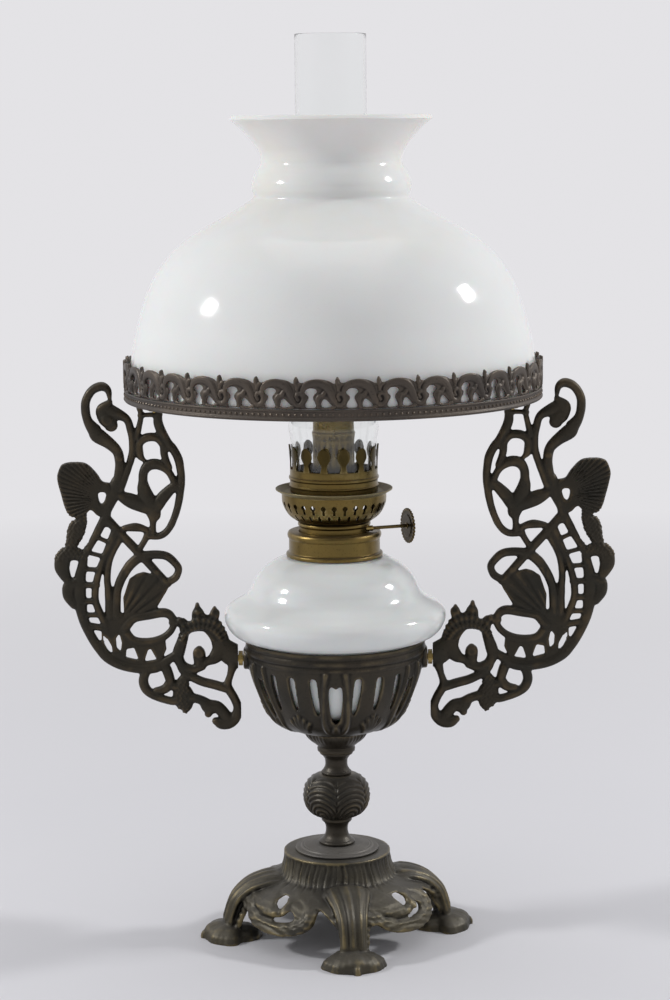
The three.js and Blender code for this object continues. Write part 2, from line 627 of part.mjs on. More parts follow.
const apronHoleShares = [
  [[1.46, 0.11], [1.418, 0.13], [1.37, 0.11], [1.41, 0.074]],
  [[1.3, 0.056], [1.235, 0.068], [1.245, 0.018]],
  [[1.11, 0.002], [1.1, 0.028], [1.055, 0.045], [1.01, 0.03], [1.01, 0]],
];

function armPoint([reach, height]) {
  return [armOrigin + reach * armReach, armRoot + height * armHeight];
}

function strand(shares) {
  const points = shares.map((share) => {
    const [x, z] = armPoint(share);
    return new THREE.Vector3(x, 0, z);
  });
  const ways = directions(points);
  const edge = (side) => points.map(({ x, z }, i) => {
    const half = (side * strandWidth * shares[i][2]) / 2;
    return [x - ways[i].z * half, z + ways[i].x * half];
  });
  return plate([...edge(1), ...edge(-1).reverse()], armThickness);
}

// The room that the font needs as it is lifted straight up between the arms
function fontEnvelope() {
  const outer = fontOutline().filter(([, z]) => z <= fontBelly);
  const wide = outer.map(([r, z]) => [r + armFontClearance, z - armFontClearance]);
  const [last] = wide.slice(-1);
  return turned([[0, wide[0][1]], ...wide.slice(1), [last[0], ringTop], [0, ringTop]], 32);
}

function arm() {
  const { rungs, ...strands } = strandShares;
  const bars = [...Object.values(strands), ...rungs].map(strand);
  const shell = plate(shellShares.map(armPoint), armThickness);
  const bigLeaf = plate(bigLeafShares.map(armPoint), armThickness * armLeafShare);
  const apron = plate(apronShares.map(armPoint), armThickness * armLeafShare);
  const holes = [shellHoleShares, ...apronHoleShares].map((hole) => {
    return plate(hole.map(armPoint), armThickness + overrun);
  });
  const body = cutBy(joined([...bars, shell, bigLeaf, apron]), holes);
  const seat = ringBottom - gap - topNutHeight - gap;
  const nutRoom = moved(disc(topNutRadius + gap, seat, ringTop, 12), { x: topScrewReach });
  const bore = disc(topScrewRadius + gap, seat - topScrewGrip - gap, ringTop, 8);
  const screwHole = moved(bore, { x: topScrewReach });
  const studHole = moved(rodAlongX(studRadius + gap, 0, studFace + studGrip + gap, 8), { z: armRoot });
  const rootRoom = box([0, -armHeight, 0], [armFace, armHeight, armRoot + armHeight]);
  const ringRoom = box([0, -armHeight, ringBottom - gap], [ringRadius + gap, armHeight, ringTop * 2]);
  return cutBy(body, [rootRoom, studHole, nutRoom, screwHole, ringRoom, fontEnvelope()]);
}

// The stud between basket and arm, and the screw between arm and ring
function footStud() {
  const shank = rodAlongX(studRadius, bossFace - studDepth, studFace + studGrip, 8);
  const head = rodAlongX(studHeadRadius, bossFace + gap, studFace, 12);
  return moved(shank.add(head), { z: armRoot });
}

function topScrew() {
  const nutTop = ringBottom - gap;
  const nut = disc(topNutRadius, nutTop - topNutHeight, nutTop, 12);
  const shank = disc(topScrewRadius, nutTop - topNutHeight - topScrewGrip, nutTop + lugThickness, 8);
  return moved(nut.add(shank), { x: topScrewReach });
}

// Shade ring: a beaded band with a ledge inside and a lug over each arm
function shadeRing() {
  const inner = ringRadius - ringWall;
  const bead = ringWall * 0.4;
  const rolls = [[0, 0], [bead, 0.16], [0, 0.34], [0, 1]];
  const outside = rolls.map(([out, up]) => [ringRadius - bead + out, ringBottom + ringHeight * up]);
  const ledge = [[inner - ringLedge, ringBottom + ringFloor], [inner - ringLedge, ringBottom]];
  const band = turned([...outside, [inner, ringTop], [inner, ringBottom + ringFloor], ...ledge], 44);
  const from = topScrewReach - topNutRadius - lugMargin;
  const to = [inner - ringLedge / 2, lugWidth / 2, ringBottom + lugThickness];
  const lug = box([from, -lugWidth / 2, ringBottom], to);
  const hole = moved(disc(topScrewRadius + gap, 0, ringTop, 8), { x: topScrewReach });
  const lugs = [0, Math.PI].map((turn) => moved(lug.subtract(hole), { turn }));
  return cutBy(joined([band, ...lugs]), [0, Math.PI].map((turn) => moved(hole, { turn })));
}

// Crown: a pierced strip of waves. One repeat is laid out flat, as shares of its length and of the arch's height,
// bent round and repeated, each repeat sharing its two upright edges with its neighbours.
const waveEdgeShares = [[0, 0], [0, 0.8]];
const waveTopShares = [[0.05, 1.16], [0.14, 0.84], [0.56, 1.03]];
const eyeHoleShares = [[0.28, 0.1], [0.52, 0.1], [0.43, 0.34], [0.54, 0.62], [0.26, 0.57]];
const cornerHoleShares = [[0.65, 0.09], [0.89, 0.1], [0.67, 0.32]];

function shadeCrown() {
  const right = waveEdgeShares.map(([, up]) => [1, up]);
  const outline = [waveEdgeShares[0], ...right, ...waveTopShares.toReversed(), waveEdgeShares[1]];
  const loops = [outline, eyeHoleShares, cornerHoleShares];
  const flat = loops.map((loop) => loop.map(([x, y]) => new THREE.Vector2(x, y)));
  const faces = THREE.ShapeUtils.triangulateShape(flat[0], flat.slice(1));
  const all = flat.flat();
  const radii = [ringRadius - crownThickness, ringRadius];
  const vertices = [];
  const triangles = [];
  ringOf(crownRepeats, (_, turn) => {
    const start = vertices.length / 3;
    radii.forEach((radius) => {
      all.forEach(({ x, y }) => {
        const angle = turn + (x * 2 * Math.PI) / crownRepeats + degrees(crownTurnDegrees);
        const level = ringTop + gap + y * crownHeight * crownArchShare;
        vertices.push(radius * Math.cos(angle), radius * Math.sin(angle), level);
      });
    });
    const outside = start + all.length;
    faces.forEach(([i, j, k]) => {
      triangles.push(start + i, start + k, start + j, outside + i, outside + j, outside + k);
    });
    let first = 0;
    flat.forEach((loop, number) => {
      const clockwise = THREE.ShapeUtils.area(loop) < 0;
      loop.forEach((point, i) => {
        const [j, k] = [first + i, first + ((i + 1) % loop.length)];
        const upright = number === 0 && point.x === all[k].x && (point.x === 0 || point.x === 1);
        if (upright) return;
        const [from, to] = (number === 0) !== clockwise ? [j, k] : [k, j];
        triangles.push(start + from, start + to, outside + to, start + from, outside + to, outside + from);
      });
      first += loop.length;
    });
  });
  const geometry = new THREE.BufferGeometry();
  geometry.setAttribute("position", new THREE.Float32BufferAttribute(vertices, 3));
  geometry.setIndex(triangles);
  return solid(geometry);
}

// Shade: an opal dome with a rolled neck and a flared rim
const domeShares = [[0, 0], [0.03, 0.21], [0.1, 0.39], [0.206, 0.61], [0.36, 0.75], [0.62, 0.865], [1, 0.985]];
const neckShares = [[1.13, 0.4], [1, 1]];
const flareShares = [[0.14, 0.3], [0.5, 0.65], [1, 1]];

function shade() {
  const foot = ringRadius - ringWall - shadeFitting;
  const neck = shadeBottom + shadeNeckRise;
  const flare = neck + shadeNeckHeight;
  const outer = [
    ...between([foot, shadeBottom], [shadeNeckRadius * 1.08, neck], domeShares),
    ...between([0, neck], [shadeNeckRadius, flare], neckShares),
    ...between([shadeNeckRadius, flare], [shadeRimRadius, flare + shadeFlareHeight], flareShares),
  ];
  const inner = offset(outer, shadeWall);
  inner[0][1] = shadeBottom;
  inner[inner.length - 1][1] = outer[outer.length - 1][1];
  return turned([...outer, ...inner.filter((_, i) => ![1, 3, 7, 9].includes(i)).reverse()], 32);
}

// Font: an opal bowl with a belly over the basket and a neck in the collar
const basinShares = [[0, 0], [0.53, 0], [0.72, 0.12], [0.85, 0.365], [0.94, 0.62]];
const bellyShares = [[0, 0], [0.43, 0.25], [0.85, 0.65], [1, 1]];
const shoulderShares = [[0.08, 0.14], [0.37, 0.38], [0.43, 0.54], [0.52, 0.71], [0.72, 0.9], [1, 1]];

function fontOutline() {
  const basin = topNutBottom + rodNutHeight + rodEnd + fontBasinClearance;
  return [
    ...between([0, basin], [fontBasinRadius, basketTop], basinShares),
    [fontBasinRadius, fontSeat],
    ...between([basketRadius - gap, fontSeat], [fontRadius, fontBelly], bellyShares),
    ...between([fontRadius, fontBelly], [fontNeckRadius, fontNeck], shoulderShares),
    [fontNeckRadius, fontTop],
  ];
}

function font() {
  const outer = fontOutline();
  const kept = [0, 2, 3, 4, 5, 7, 9, 11, 14, 15, outer.length - 1];
  const inner = offset(outer, fontWall).filter((_, i) => kept.includes(i));
  return turned([...outer, ...inner.reverse()], 24);
}

function collar() {
  const inside = collarRadius - collarWall;
  const skirt = neckRadius + gap;
  const flange = collarHeight * 0.14;
  const bead = collarHeight * 0.72;
  const outline = [[collarFlange, 0], [collarFlange, flange], [collarRadius, flange * 1.2], [collarRadius, bead],
    [collarRadius + collarWall, bead + collarWall], [collarRadius + collarWall, collarHeight - collarWall],
    [collarRadius, collarHeight], [skirt, collarHeight], [skirt, collarHeight - collarSkirt],
    [skirt + collarWall, collarHeight - collarSkirt], [skirt + collarWall, collarHeight - collarWall],
    [inside, collarHeight - collarWall], [inside, 0]];
  return turned(outline.map(([r, z]) => [r, collarBottom + z]), 24);
}

// A solid carried by the burner's shaft: made along X, then set beside the lamp's axis and turned with the shaft
const onShaft = (body) => moved(moved(body, { y: -shaftOffset, z: shaftLevel }), { turn: shaftTurn });

function burnerBase() {
  const bottom = collarTop - threadDepth;
  const hole = wickTubeRadius + gap;
  const cup = [[neckRadius, bottom], [neckRadius, neckTop], [hole, neckTop], [hole, neckTop - neckFloor],
    [neckInner, neckTop - neckFloor], [neckInner, bottom]];
  return turned(cup, 20).subtract(onShaft(rodAlongX(shaftRadius + gap, 0, glandReach, 8)));
}

// Bowl: the pierced air inlet, its slots a ring of arched cuts
const airBowlShares = [[0, 0], [0.6, 0.25], [1, 0.85], [1, 1]];

function draughtBowl() {
  const outer = between([neckRadius + bowlWall, bowlBottom], [bowlRadius, bowlTop], airBowlShares);
  const inner = offset(outer, bowlWall).reverse();
  inner[inner.length - 1] = [neckRadius, bowlBottom + bowlWall];
  inner[0][1] = bowlTop;
  const hole = wickTubeRadius + gap;
  const shell = turned([...outer, ...inner, [hole, bowlBottom + bowlWall], [hole, bowlBottom]], bowlSlots);
  const half = bowlSlotWidth / 2;
  const arch = [[-half, 0], [half, 0], [half, bowlSlotHeight], [-half, bowlSlotHeight]];
  const level = bowlBottom + bowlHeight * 0.38;
  const slot = moved(plate(arch.map(([x, z]) => [x, level + z]), bowlRadius), { y: bowlRadius });
  return cutBy(shell, ringOf(bowlSlots, (_, turn) => moved(slot, { turn: turn + Math.PI / bowlSlots })));
}

function burnerPlate() {
  const flat = bowlRadius - bowlWall;
  const outer = [[plateHole, 0], [flat, 0], [plateRadius, plateRise], [plateRadius, plateRise + plateWall],
    [flat - plateWall, plateWall], [plateHole, plateWall]];
  return turned(outer.map(([r, z]) => [r, plateBottom + z]), 24);
}

// Chimney crown: a band with lobed prongs, cut from one tube by club-shaped gaps
function chimneyCrown() {
  const top = crownBandTop + prongHeight;
  const beadAt = chimneyBottom + crownBandHeight * 0.62;
  const bead = crownBandWall * 0.7;
  const tube = turned([[crownBandRadius, chimneyBottom], [crownBandRadius, beadAt - bead],
    [crownBandRadius + bead, beadAt], [crownBandRadius, beadAt + bead], [crownBandRadius, crownBandTop],
    [crownBandRadius + bead, top], [crownInner + bead, top], [crownInner, crownBandTop],
    [crownInner, chimneyBottom]], prongCount * 2);
  const pitch = (2 * Math.PI * crownBandRadius) / prongCount;
  const wide = (pitch - prongStem) / 2;
  const narrow = (pitch - prongHead) / 2;
  const outline = [[-wide, 0.06], [wide, 0.06], [wide, 0.42], [narrow, 0.72], [wide, 1.04], [-wide, 1.04],
    [-narrow, 0.72], [-wide, 0.42]];
  const cut = plate(outline.map(([x, up]) => [x, crownBandTop + prongHeight * up]), crownBandRadius);
  const placed = moved(cut, { y: crownBandRadius });
  return cutBy(tube, ringOf(prongCount, (_, turn) => moved(placed, { turn })));
}

function wickTube() {
  const seam = wickTubeBottom + wickTubeHeight * 0.77;
  const radiusAt = (z) => mix(wickTubeRadius, wickTubeTopRadius, (z - wickTubeBottom) / wickTubeHeight);
  const outer = [wickTubeBottom, seam - wickTubeBead, seam, seam + wickTubeBead, wickTubeTop].map((z) => {
    return [radiusAt(z) + (z === seam ? wickTubeBead : 0), z];
  });
  const inner = [[wickTubeTopRadius - wickTubeWall, wickTubeTop],
    [wickTubeRadius - wickTubeWall, wickTubeBottom]];
  const room = wheelPlaces().map((x) => {
    const half = wheelThickness / 2 + gap;
    return onShaft(rodAlongX(wheelRadius + gap, x - half, x + half, 16));
  });
  return cutBy(turned([...outer, ...inner], 20), room);
}

// A part of a tube between two angles
function tubeArc(inner, outer, bottom, top, from, span, steps) {
  const arc = (radius, start, turn) => Array.from({ length: steps + 1 }, (_, i) => {
    const angle = start + (turn * i) / steps;
    return new THREE.Vector2(radius * Math.cos(angle), radius * Math.sin(angle));
  });
  const shape = new THREE.Shape([...arc(outer, from, span), ...arc(inner, from + span, -span)]);
  const geometry = new THREE.ExtrudeGeometry(shape, { depth: top - bottom, bevelEnabled: false });
  return solid(geometry.translate(0, 0, bottom));
}

// Wick: a flat wick rolled to a tube, its seam away from the wheels, with a tail down into the oil
function wick() {
  const seam = degrees(wickSeamDegrees);
  const middle = shaftTurn + Math.PI / 2;
  const tail = degrees(wickTailDegrees);
  const from = middle + seam / 2;
  const rolled = tubeArc(wickInner, wickOuter, wickTubeBottom, wickTop, from, 2 * Math.PI - seam, 18);
  const tailFrom = shaftTurn - Math.PI / 2 - tail / 2;
  const tailEnd = wickTubeBottom - wickTail;
  const hanging = tubeArc(wickInner, wickOuter, tailEnd, wickTubeBottom + overrun, tailFrom, tail, 6);
  return rolled.add(hanging);
}

function draughtTube() {
  const bottom = bowlBottom;
  const top = wickTubeTop - draughtTubeSink;
  const inner = draughtOuter - draughtTubeWall;
  const tube = turned([[draughtOuter, bottom], [draughtOuter, top], [inner, top], [inner, bottom]], 16);
  const reach = wickTubeTopRadius - wickTubeWall - gap;
  const web = box([-draughtWebWidth / 2, inner + draughtTubeWall / 2, bottom],
    [draughtWebWidth / 2, reach, bottom + draughtWebHeight]);
  return tube.add(moved(web, { turn: shaftTurn }));
}

const wheelPlaces = () => [-wheelSpacing / 2, wheelSpacing / 2];

// A toothed disc along X
function toothed(radius, depth, teeth, thickness, x, hole) {
  const outline = ringOf(teeth * 2, (i, angle) => {
    const reach = i % 2 ? radius - depth : radius;
    return new THREE.Vector2(reach * Math.cos(angle), reach * Math.sin(angle));
  });
  const geometry = new THREE.ExtrudeGeometry(new THREE.Shape(outline), { depth: thickness, bevelEnabled: false });
  const body = solid(geometry.rotateY(Math.PI / 2).translate(x - thickness / 2, 0, 0));
  return body.subtract(rodAlongX(hole, x - thickness, x + thickness, 12));
}

const wheel = (x) =>
  onShaft(toothed(wheelRadius, wheelToothDepth, wheelTeeth, wheelThickness, x, shaftRadius + gap / 2));

function shaft() {
  const inside = Math.sqrt(neckInner ** 2 - (shaftOffset + shaftRadius) ** 2);
  return onShaft(rodAlongX(shaftRadius, gap - inside, knobReach + knobThickness / 2 + shaftEnd, 10));
}

function gland() {
  const body = rodAlongX(glandRadius, neckInner / 2, glandReach, 14);
  const placed = onShaft(body.subtract(rodAlongX(shaftRadius + gap, 0, glandReach + overrun, 10)));
  return placed.subtract(disc(neckRadius + gap, collarTop, neckTop, 36));
}

const knob = () =>
  onShaft(toothed(knobRadius, knobToothDepth, knobTeeth, knobThickness, knobReach, shaftRadius + gap / 2));

// Chimney: a straight foot in the crown, a bulge, a sharp shoulder and a long straight tube
const chimneyFootShares = [[0, 0], [0, 0.58], [0.45, 0.72], [1, 0.84], [0.9, 0.9]];
const chimneyNeckShares = [[0.35, 0.25], [0.85, 0.65], [1, 1]];

function chimney() {
  const shoulder = chimneyBottom + chimneyShoulderRise;
  const foot = between([chimneyFootRadius, chimneyBottom], [chimneyBulge, shoulder], chimneyFootShares);
  const [bulgeX, bulgeZ] = foot[foot.length - 1];
  const outer = [...foot, ...between([bulgeX, bulgeZ], [chimneyRadius, shoulder], chimneyNeckShares),
    [chimneyRadius, chimneyBottom + chimneyHeight]];
  const inner = offset(outer, chimneyWall).filter((_, i) => i !== 1 && i !== 5).reverse();
  return turned([...outer, ...inner], 20);
}

// Finishes
const finish = (color, metalness, roughness, extra = {}) =>
  new THREE.MeshStandardMaterial({ color, metalness, roughness, ...extra });
const darkBronze = finish("#3a342b", 0.75, 0.5);
const wornBronze = finish("#5b5646", 0.75, 0.45);
const agedBrass = finish("#7d6c3c", 0.85, 0.42);
const brightBrass = finish("#a88b4a", 0.9, 0.35);
const steel = finish("#8a8a86", 0.9, 0.4);
const opalGlass = finish("#eceeec", 0, 0.12);
const clearGlass = finish("#f4f8f8", 0, 0.03, { transparent: true, opacity: 0.3 });
const cotton = finish("#e2d9c4", 0, 0.95);

const lamp = new THREE.Group();

function place(name, body, material, turn = 0) {
  const mesh = new THREE.Mesh(geometryOf(body), material);
  mesh.name = name;
  mesh.rotation.z = turn;
  lamp.add(mesh);
}

place("foot_casting", footCasting(), wornBronze);
place("foot_top_disc", stemPiece(discShares, discRadius, discBottom, discHeight, 24), wornBronze);
place("stem_lower_spool", stemPiece(lowerSpoolShares, lowerSpoolRadius, lowerSpoolBottom, lowerSpoolHeight, 16),
  darkBronze);
place("stem_knop", knop(), darkBronze);
place("stem_upper_spool", stemPiece(upperSpoolShares, upperSpoolRadius, upperSpoolBottom, upperSpoolHeight, 16),
  darkBronze);
place("calyx_cup", calyx(), darkBronze);
place("tie_rod", tieRod(), steel);
place("tie_rod_washer", disc(rodWasherRadius, washerTop - rodWasherHeight, washerTop, 20, rodHole), steel);
place("tie_rod_base_nut", hexNut(baseNutTop, rodNutHeight), steel);
place("tie_rod_top_nut", hexNut(topNutBottom + rodNutHeight, rodNutHeight), steel);
place("font_basket", basket(), darkBronze);
[["right", 0], ["left", Math.PI]].forEach(([side, turn]) => {
  place(`arm_${side}`, arm(), darkBronze, turn);
  place(`arm_foot_stud_${side}`, footStud(), brightBrass, turn);
  place(`arm_top_screw_${side}`, topScrew(), brightBrass, turn);
});
place("shade_ring", shadeRing(), darkBronze);
place("shade_crown", shadeCrown(), darkBronze);
place("shade_glass", shade(), opalGlass);
place("font_glass", font(), opalGlass);
place("font_collar", collar(), agedBrass);
place("burner_base", burnerBase(), agedBrass);
place("draught_bowl", draughtBowl(), agedBrass);
place("burner_plate", burnerPlate(), agedBrass);
place("chimney_crown", chimneyCrown(), agedBrass);
place("wick_tube", wickTube(), agedBrass);
place("draught_tube", draughtTube(), agedBrass);
place("wick", wick(), cotton);
place("wick_shaft", shaft(), brightBrass);
place("wick_wheel_front", wheel(wheelPlaces()[0]), brightBrass);
place("wick_wheel_rear", wheel(wheelPlaces()[1]), brightBrass);
place("shaft_gland", gland(), brightBrass);
place("wick_knob", knob(), agedBrass);
place("chimney_glass", chimney(), clearGlass);

export default lamp;
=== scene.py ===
# A table kerosene lamp in the frame of its model: the castings, glass and brass are made here in fine detail.
# Lengths are in millimetres until a mesh is made, +Z up, the origin on the floor in the middle of the feet.
import math

import bmesh
import bpy
import numpy as np
from mathutils import Matrix, Vector


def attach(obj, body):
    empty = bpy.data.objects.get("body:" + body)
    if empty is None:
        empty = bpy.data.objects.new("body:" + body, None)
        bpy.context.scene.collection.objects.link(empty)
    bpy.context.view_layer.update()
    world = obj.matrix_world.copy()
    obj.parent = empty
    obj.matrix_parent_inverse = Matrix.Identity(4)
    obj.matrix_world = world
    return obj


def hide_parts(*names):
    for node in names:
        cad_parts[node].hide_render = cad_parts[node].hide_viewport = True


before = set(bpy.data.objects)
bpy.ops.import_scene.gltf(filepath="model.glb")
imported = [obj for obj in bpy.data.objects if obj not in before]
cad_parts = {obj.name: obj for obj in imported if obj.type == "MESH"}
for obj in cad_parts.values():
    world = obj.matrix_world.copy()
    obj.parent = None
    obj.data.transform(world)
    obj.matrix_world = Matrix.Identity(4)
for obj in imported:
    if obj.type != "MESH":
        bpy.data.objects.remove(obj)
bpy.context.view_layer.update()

MM = 0.001
TURN = 2 * math.pi
OVAL_SIDES = 14
FOOT_GRAIN, WEB_GRAIN, BASKET_GRAIN, ARM_GRAIN, CROWN_GRAIN = 0.75, 0.8, 0.62, 0.55, 0.5


# ---------------------------------------------------------------- shapes: points in millimetres, and faces

def ramp(value):
    """A value held between 0 and 1."""
    return np.clip(value, 0, 1)


def upright(x, z):
    """Points in the X-Z plane."""
    return np.stack([x, 0 * x, z], 1)


def round_about(radius, angle, height):
    """Points at a radius, an angle and a height."""
    x, y, z = np.broadcast_arrays(radius * np.cos(angle), radius * np.sin(angle), height)
    return np.stack([x, y, z], -1)


def unit(ways):
    """Each way made one long."""
    return ways / np.linalg.norm(ways, axis=1)[:, None]


def flowing(rows, steps=6, closed=False):
    """A smooth row of stations through given ones."""
    rows = np.array(rows, float)
    count = len(rows)
    made = []
    for i in range(count if closed else count - 1):
        near = [(i + k) % count if closed else min(max(i + k, 0), count - 1) for k in (-1, 0, 1, 2)]
        before, here, after, beyond = rows[near]
        for t in np.arange(steps) / steps:
            made.append(here + 0.5 * t * (after - before + t * (2 * before - 5 * here + 4 * after - beyond
                        + t * (3 * (here - after) + beyond - before))))
    if not closed:
        made.append(rows[-1])
    return np.array(made)


def softened(outline, radius, steps=3, most=0.8):
    """A closed outline with its corners rounded and its long sides stepped."""
    outline = np.array(outline, float)
    made = []
    for before, corner, after in zip(np.roll(outline, 1, 0), outline, np.roll(outline, -1, 0)):
        back, ahead = before - corner, after - corner
        reach_back, reach_ahead = np.linalg.norm(back), np.linalg.norm(ahead)
        if corner[0] == 0 or min(reach_back, reach_ahead) < 1e-6:
            made.append(corner)
            continue
        ease = min(radius, 0.42 * reach_back, 0.42 * reach_ahead)
        start, end = corner + back / reach_back * ease, corner + ahead / reach_ahead * ease
        for t in np.linspace(0, 1, steps + 1):
            made.append((1 - t) ** 2 * start + 2 * t * (1 - t) * corner + t * t * end)
    return stepped(made, most)


def skin(line, wall):
    """A closed outline: a line and the same line a wall's thickness to its left."""
    line = np.array(line, float)
    ahead = unit(np.gradient(line, axis=0))
    inner = line + np.stack([-ahead[:, 1], ahead[:, 0]], 1) * wall
    inner[:, 0] = np.maximum(inner[:, 0], 0)
    return np.concatenate([line, inner[::-1]])


def grid(rows, columns, join_rows=False, join_columns=False):
    """Four-sided faces over rows and columns of points."""
    faces = []
    for i in range(rows if join_rows else rows - 1):
        for j in range(columns if join_columns else columns - 1):
            a, b = (i + 1) % rows, (j + 1) % columns
            faces.append((i * columns + j, a * columns + j, a * columns + b, i * columns + b))
    return faces


def stepped(outline, most):
    """A closed outline with no step longer than a limit."""
    outline = np.array(outline, float)
    made = []
    for here, after in zip(outline, np.roll(outline, -1, 0)):
        parts = max(int(np.ceil(np.linalg.norm(after - here) / most)), 1)
        made += [here + (after - here) * i / parts for i in range(parts)]
    return np.array(made)


def turned(outline, around=160, swell=None):
    """A closed outline of (radius, height) spun round the lamp's axis."""
    outline = np.array(outline, float)
    angles = np.arange(around) * TURN / around
    turn, radius = np.meshgrid(angles, outline[:, 0], indexing="ij")
    height = np.broadcast_to(outline[:, 1], radius.shape)
    if swell:
        radius = radius + swell(turn, radius, height)
    points = np.stack([radius * np.cos(turn), radius * np.sin(turn), height], -1).reshape(-1, 3)
    return points, grid(around, len(outline), True, True)


def oval(path, half_width, half_depth, outward):
    """A tapering oval bar along a path, with rounded ends. outward is the way its depth is measured."""
    path = np.array(path, float)
    count = len(path)
    half_width = np.broadcast_to(half_width, count).astype(float)
    outward = np.broadcast_to(outward * half_depth, (count, 3))
    ahead = unit(np.gradient(path, axis=0))
    across = unit(np.cross(outward, ahead))
    stations = [(path[i], across[i], half_width[i], outward[i], 1.0) for i in range(count)]
    first, last = [], []
    for out in (0.45, 0.8, 0.98):
        shrink = math.sqrt(1 - out * out)
        first.insert(0, (path[0] - ahead[0] * half_width[0] * out, across[0], half_width[0] * shrink,
                         outward[0], shrink))
        last.append((path[-1] + ahead[-1] * half_width[-1] * out, across[-1], half_width[-1] * shrink,
                     outward[-1], shrink))
    stations = first + stations + last
    angles = np.arange(OVAL_SIDES) * TURN / OVAL_SIDES
    points = np.concatenate([centre + np.outer(np.cos(angles) * wide, side) + np.outer(np.sin(angles) * deep, up)
                             for centre, side, wide, up, deep in stations])
    faces = grid(len(stations), OVAL_SIDES, False, True)
    faces.append(tuple(range(OVAL_SIDES)))
    faces.append(tuple(range(len(points) - 1, len(points) - OVAL_SIDES - 1, -1)))
    return points, faces


def rod(start, end, radius, sides=32, ease=0.3):
    """A round rod with eased ends."""
    start, end = np.array(start, float), np.array(end, float)
    length = np.linalg.norm(end - start)
    ahead = (end - start) / length
    aside = np.cross(ahead, (0, 0, 1) if abs(ahead[2]) < 0.9 else (1, 0, 0))
    aside /= np.linalg.norm(aside)
    other = np.cross(ahead, aside)
    outline = [(0, 0), (radius - ease, 0), (radius, ease), (radius, length - ease), (radius - ease, length),
               (0, length)]
    angles = np.arange(sides) * TURN / sides
    rings = [start + ahead * along + (np.outer(np.cos(angles), aside) + np.outer(np.sin(angles), other)) * wide
             for wide, along in outline]
    return np.concatenate(rings), grid(len(rings), sides, False, True)


def read(mesh):
    """The points and normals of a mesh."""
    points = np.empty(len(mesh.vertices) * 3, np.float32)
    normals = np.empty(len(mesh.vertices) * 3, np.float32)
    mesh.vertices.foreach_get("co", points)
    mesh.vertices.foreach_get("normal", normals)
    return points.reshape(-1, 3).astype(float), normals.reshape(-1, 3).astype(float)


def write(mesh, points):
    """Moves the points of a mesh."""
    mesh.vertices.foreach_set("co", points.astype(np.float32).ravel())
    mesh.update()


def taken(mesh):
    """The points, normals and faces of a mesh that is then let go."""
    points, normals = read(mesh)
    faces = [tuple(p.vertices) for p in mesh.polygons]
    bpy.data.meshes.remove(mesh)
    return points, normals, faces


def added(name, data):
    """A new object in the scene."""
    made = bpy.data.objects.new(name, data)
    bpy.context.scene.collection.objects.link(made)
    return made


def shown(holder):
    """An object's mesh with its modifiers or its curve worked out."""
    return bpy.data.meshes.new_from_object(holder.evaluated_get(bpy.context.evaluated_depsgraph_get()))


def slab(outlines, thickness, ease=0.0):
    """A flat plate in the X-Z plane, centred on Y: the first outline is its edge, the others are its holes."""
    curve = bpy.data.curves.new("slab", "CURVE")
    curve.dimensions = "2D"
    curve.fill_mode = "BOTH"
    curve.extrude = thickness / 2 - ease
    curve.bevel_depth = ease
    curve.bevel_resolution = 2
    curve.offset = -ease
    for outline in outlines:
        spline = curve.splines.new("POLY")
        spline.points.add(len(outline) - 1)
        for point, (x, z) in zip(spline.points, outline):
            point.co = (x, z, 0, 1)
        spline.use_cyclic_u = True
    holder = added("slab", curve)
    points, _, faces = taken(shown(holder))
    bpy.data.objects.remove(holder)
    bpy.data.curves.remove(curve)
    return points[:, [0, 2, 1]] * (1, -1, 1), faces


def box(low, high):
    """A box between two corners."""
    (x0, y0, z0), (x1, y1, z1) = low, high
    points = np.array([(x, y, z) for x in (x0, x1) for y in (y0, y1) for z in (z0, z1)], float)
    return points, [(0, 1, 3, 2), (4, 6, 7, 5), (0, 4, 5, 1), (2, 3, 7, 6), (0, 2, 6, 4), (1, 5, 7, 3)]


def spun(shape, turn, shift=(0, 0, 0)):
    """A shape shifted, then turned round the lamp's axis."""
    points, faces = shape
    x, y, z = (points + shift).T
    cosine, sine = math.cos(turn), math.sin(turn)
    return np.stack([x * cosine - y * sine, x * sine + y * cosine, z], 1), faces


def wrapped(shape, radius):
    """A flat shape, its X along the rim and its Y outward, bent round the lamp's axis."""
    points, faces = shape
    x, y, z = points.T
    angle, reach = x / radius, radius + y
    return np.stack([reach * np.sin(angle), -reach * np.cos(angle), z], 1), faces


def ring_of(count, make):
    """What a function makes at each of some even turns round the axis."""
    return [make(i * TURN / count) for i in range(count)]


def sheet(front, back):
    """A closed shell between two grids of points."""
    rows, columns, _ = front.shape
    count = rows * columns
    faces = grid(rows, columns)
    reverse = [tuple(i + count for i in reversed(side)) for side in faces]
    edge = ([i * columns for i in range(rows)] + [(rows - 1) * columns + j for j in range(1, columns)]
            + [i * columns + columns - 1 for i in range(rows - 2, -1, -1)] + list(range(columns - 2, 0, -1)))
    joined = [(a, b, b + count, a + count) for a, b in zip(edge, edge[1:] + edge[:1])]
    return np.concatenate([front.reshape(-1, 3), back.reshape(-1, 3)]), faces + reverse + joined


def across_flow(x, z, line, half_width, shift=0):
    """How far points lie from a scroll's middle line, in shares of its half width."""
    away = np.hypot(x[:, None] - line[:, 0] - shift, z[:, None] - line[:, 1])
    nearest = away.argmin(1)
    return away[np.arange(len(x)), nearest] / half_width[nearest]


def raw_mesh(shapes):
    """One mesh of shapes, still in millimetres, its faces turned outward."""
    faces, start = [], 0
    for points, sides in shapes:
        faces += [tuple(i + start for i in side) for side in sides]
        start += len(points)
    mesh = bpy.data.meshes.new("work")
    mesh.from_pydata(np.concatenate([points for points, _ in shapes]).tolist(), [], faces)
    work = bmesh.new()
    work.from_mesh(mesh)
    bmesh.ops.remove_doubles(work, verts=work.verts, dist=1e-4)
    bmesh.ops.recalc_face_normals(work, faces=work.faces)
    work.to_mesh(mesh)
    work.free()
    return mesh


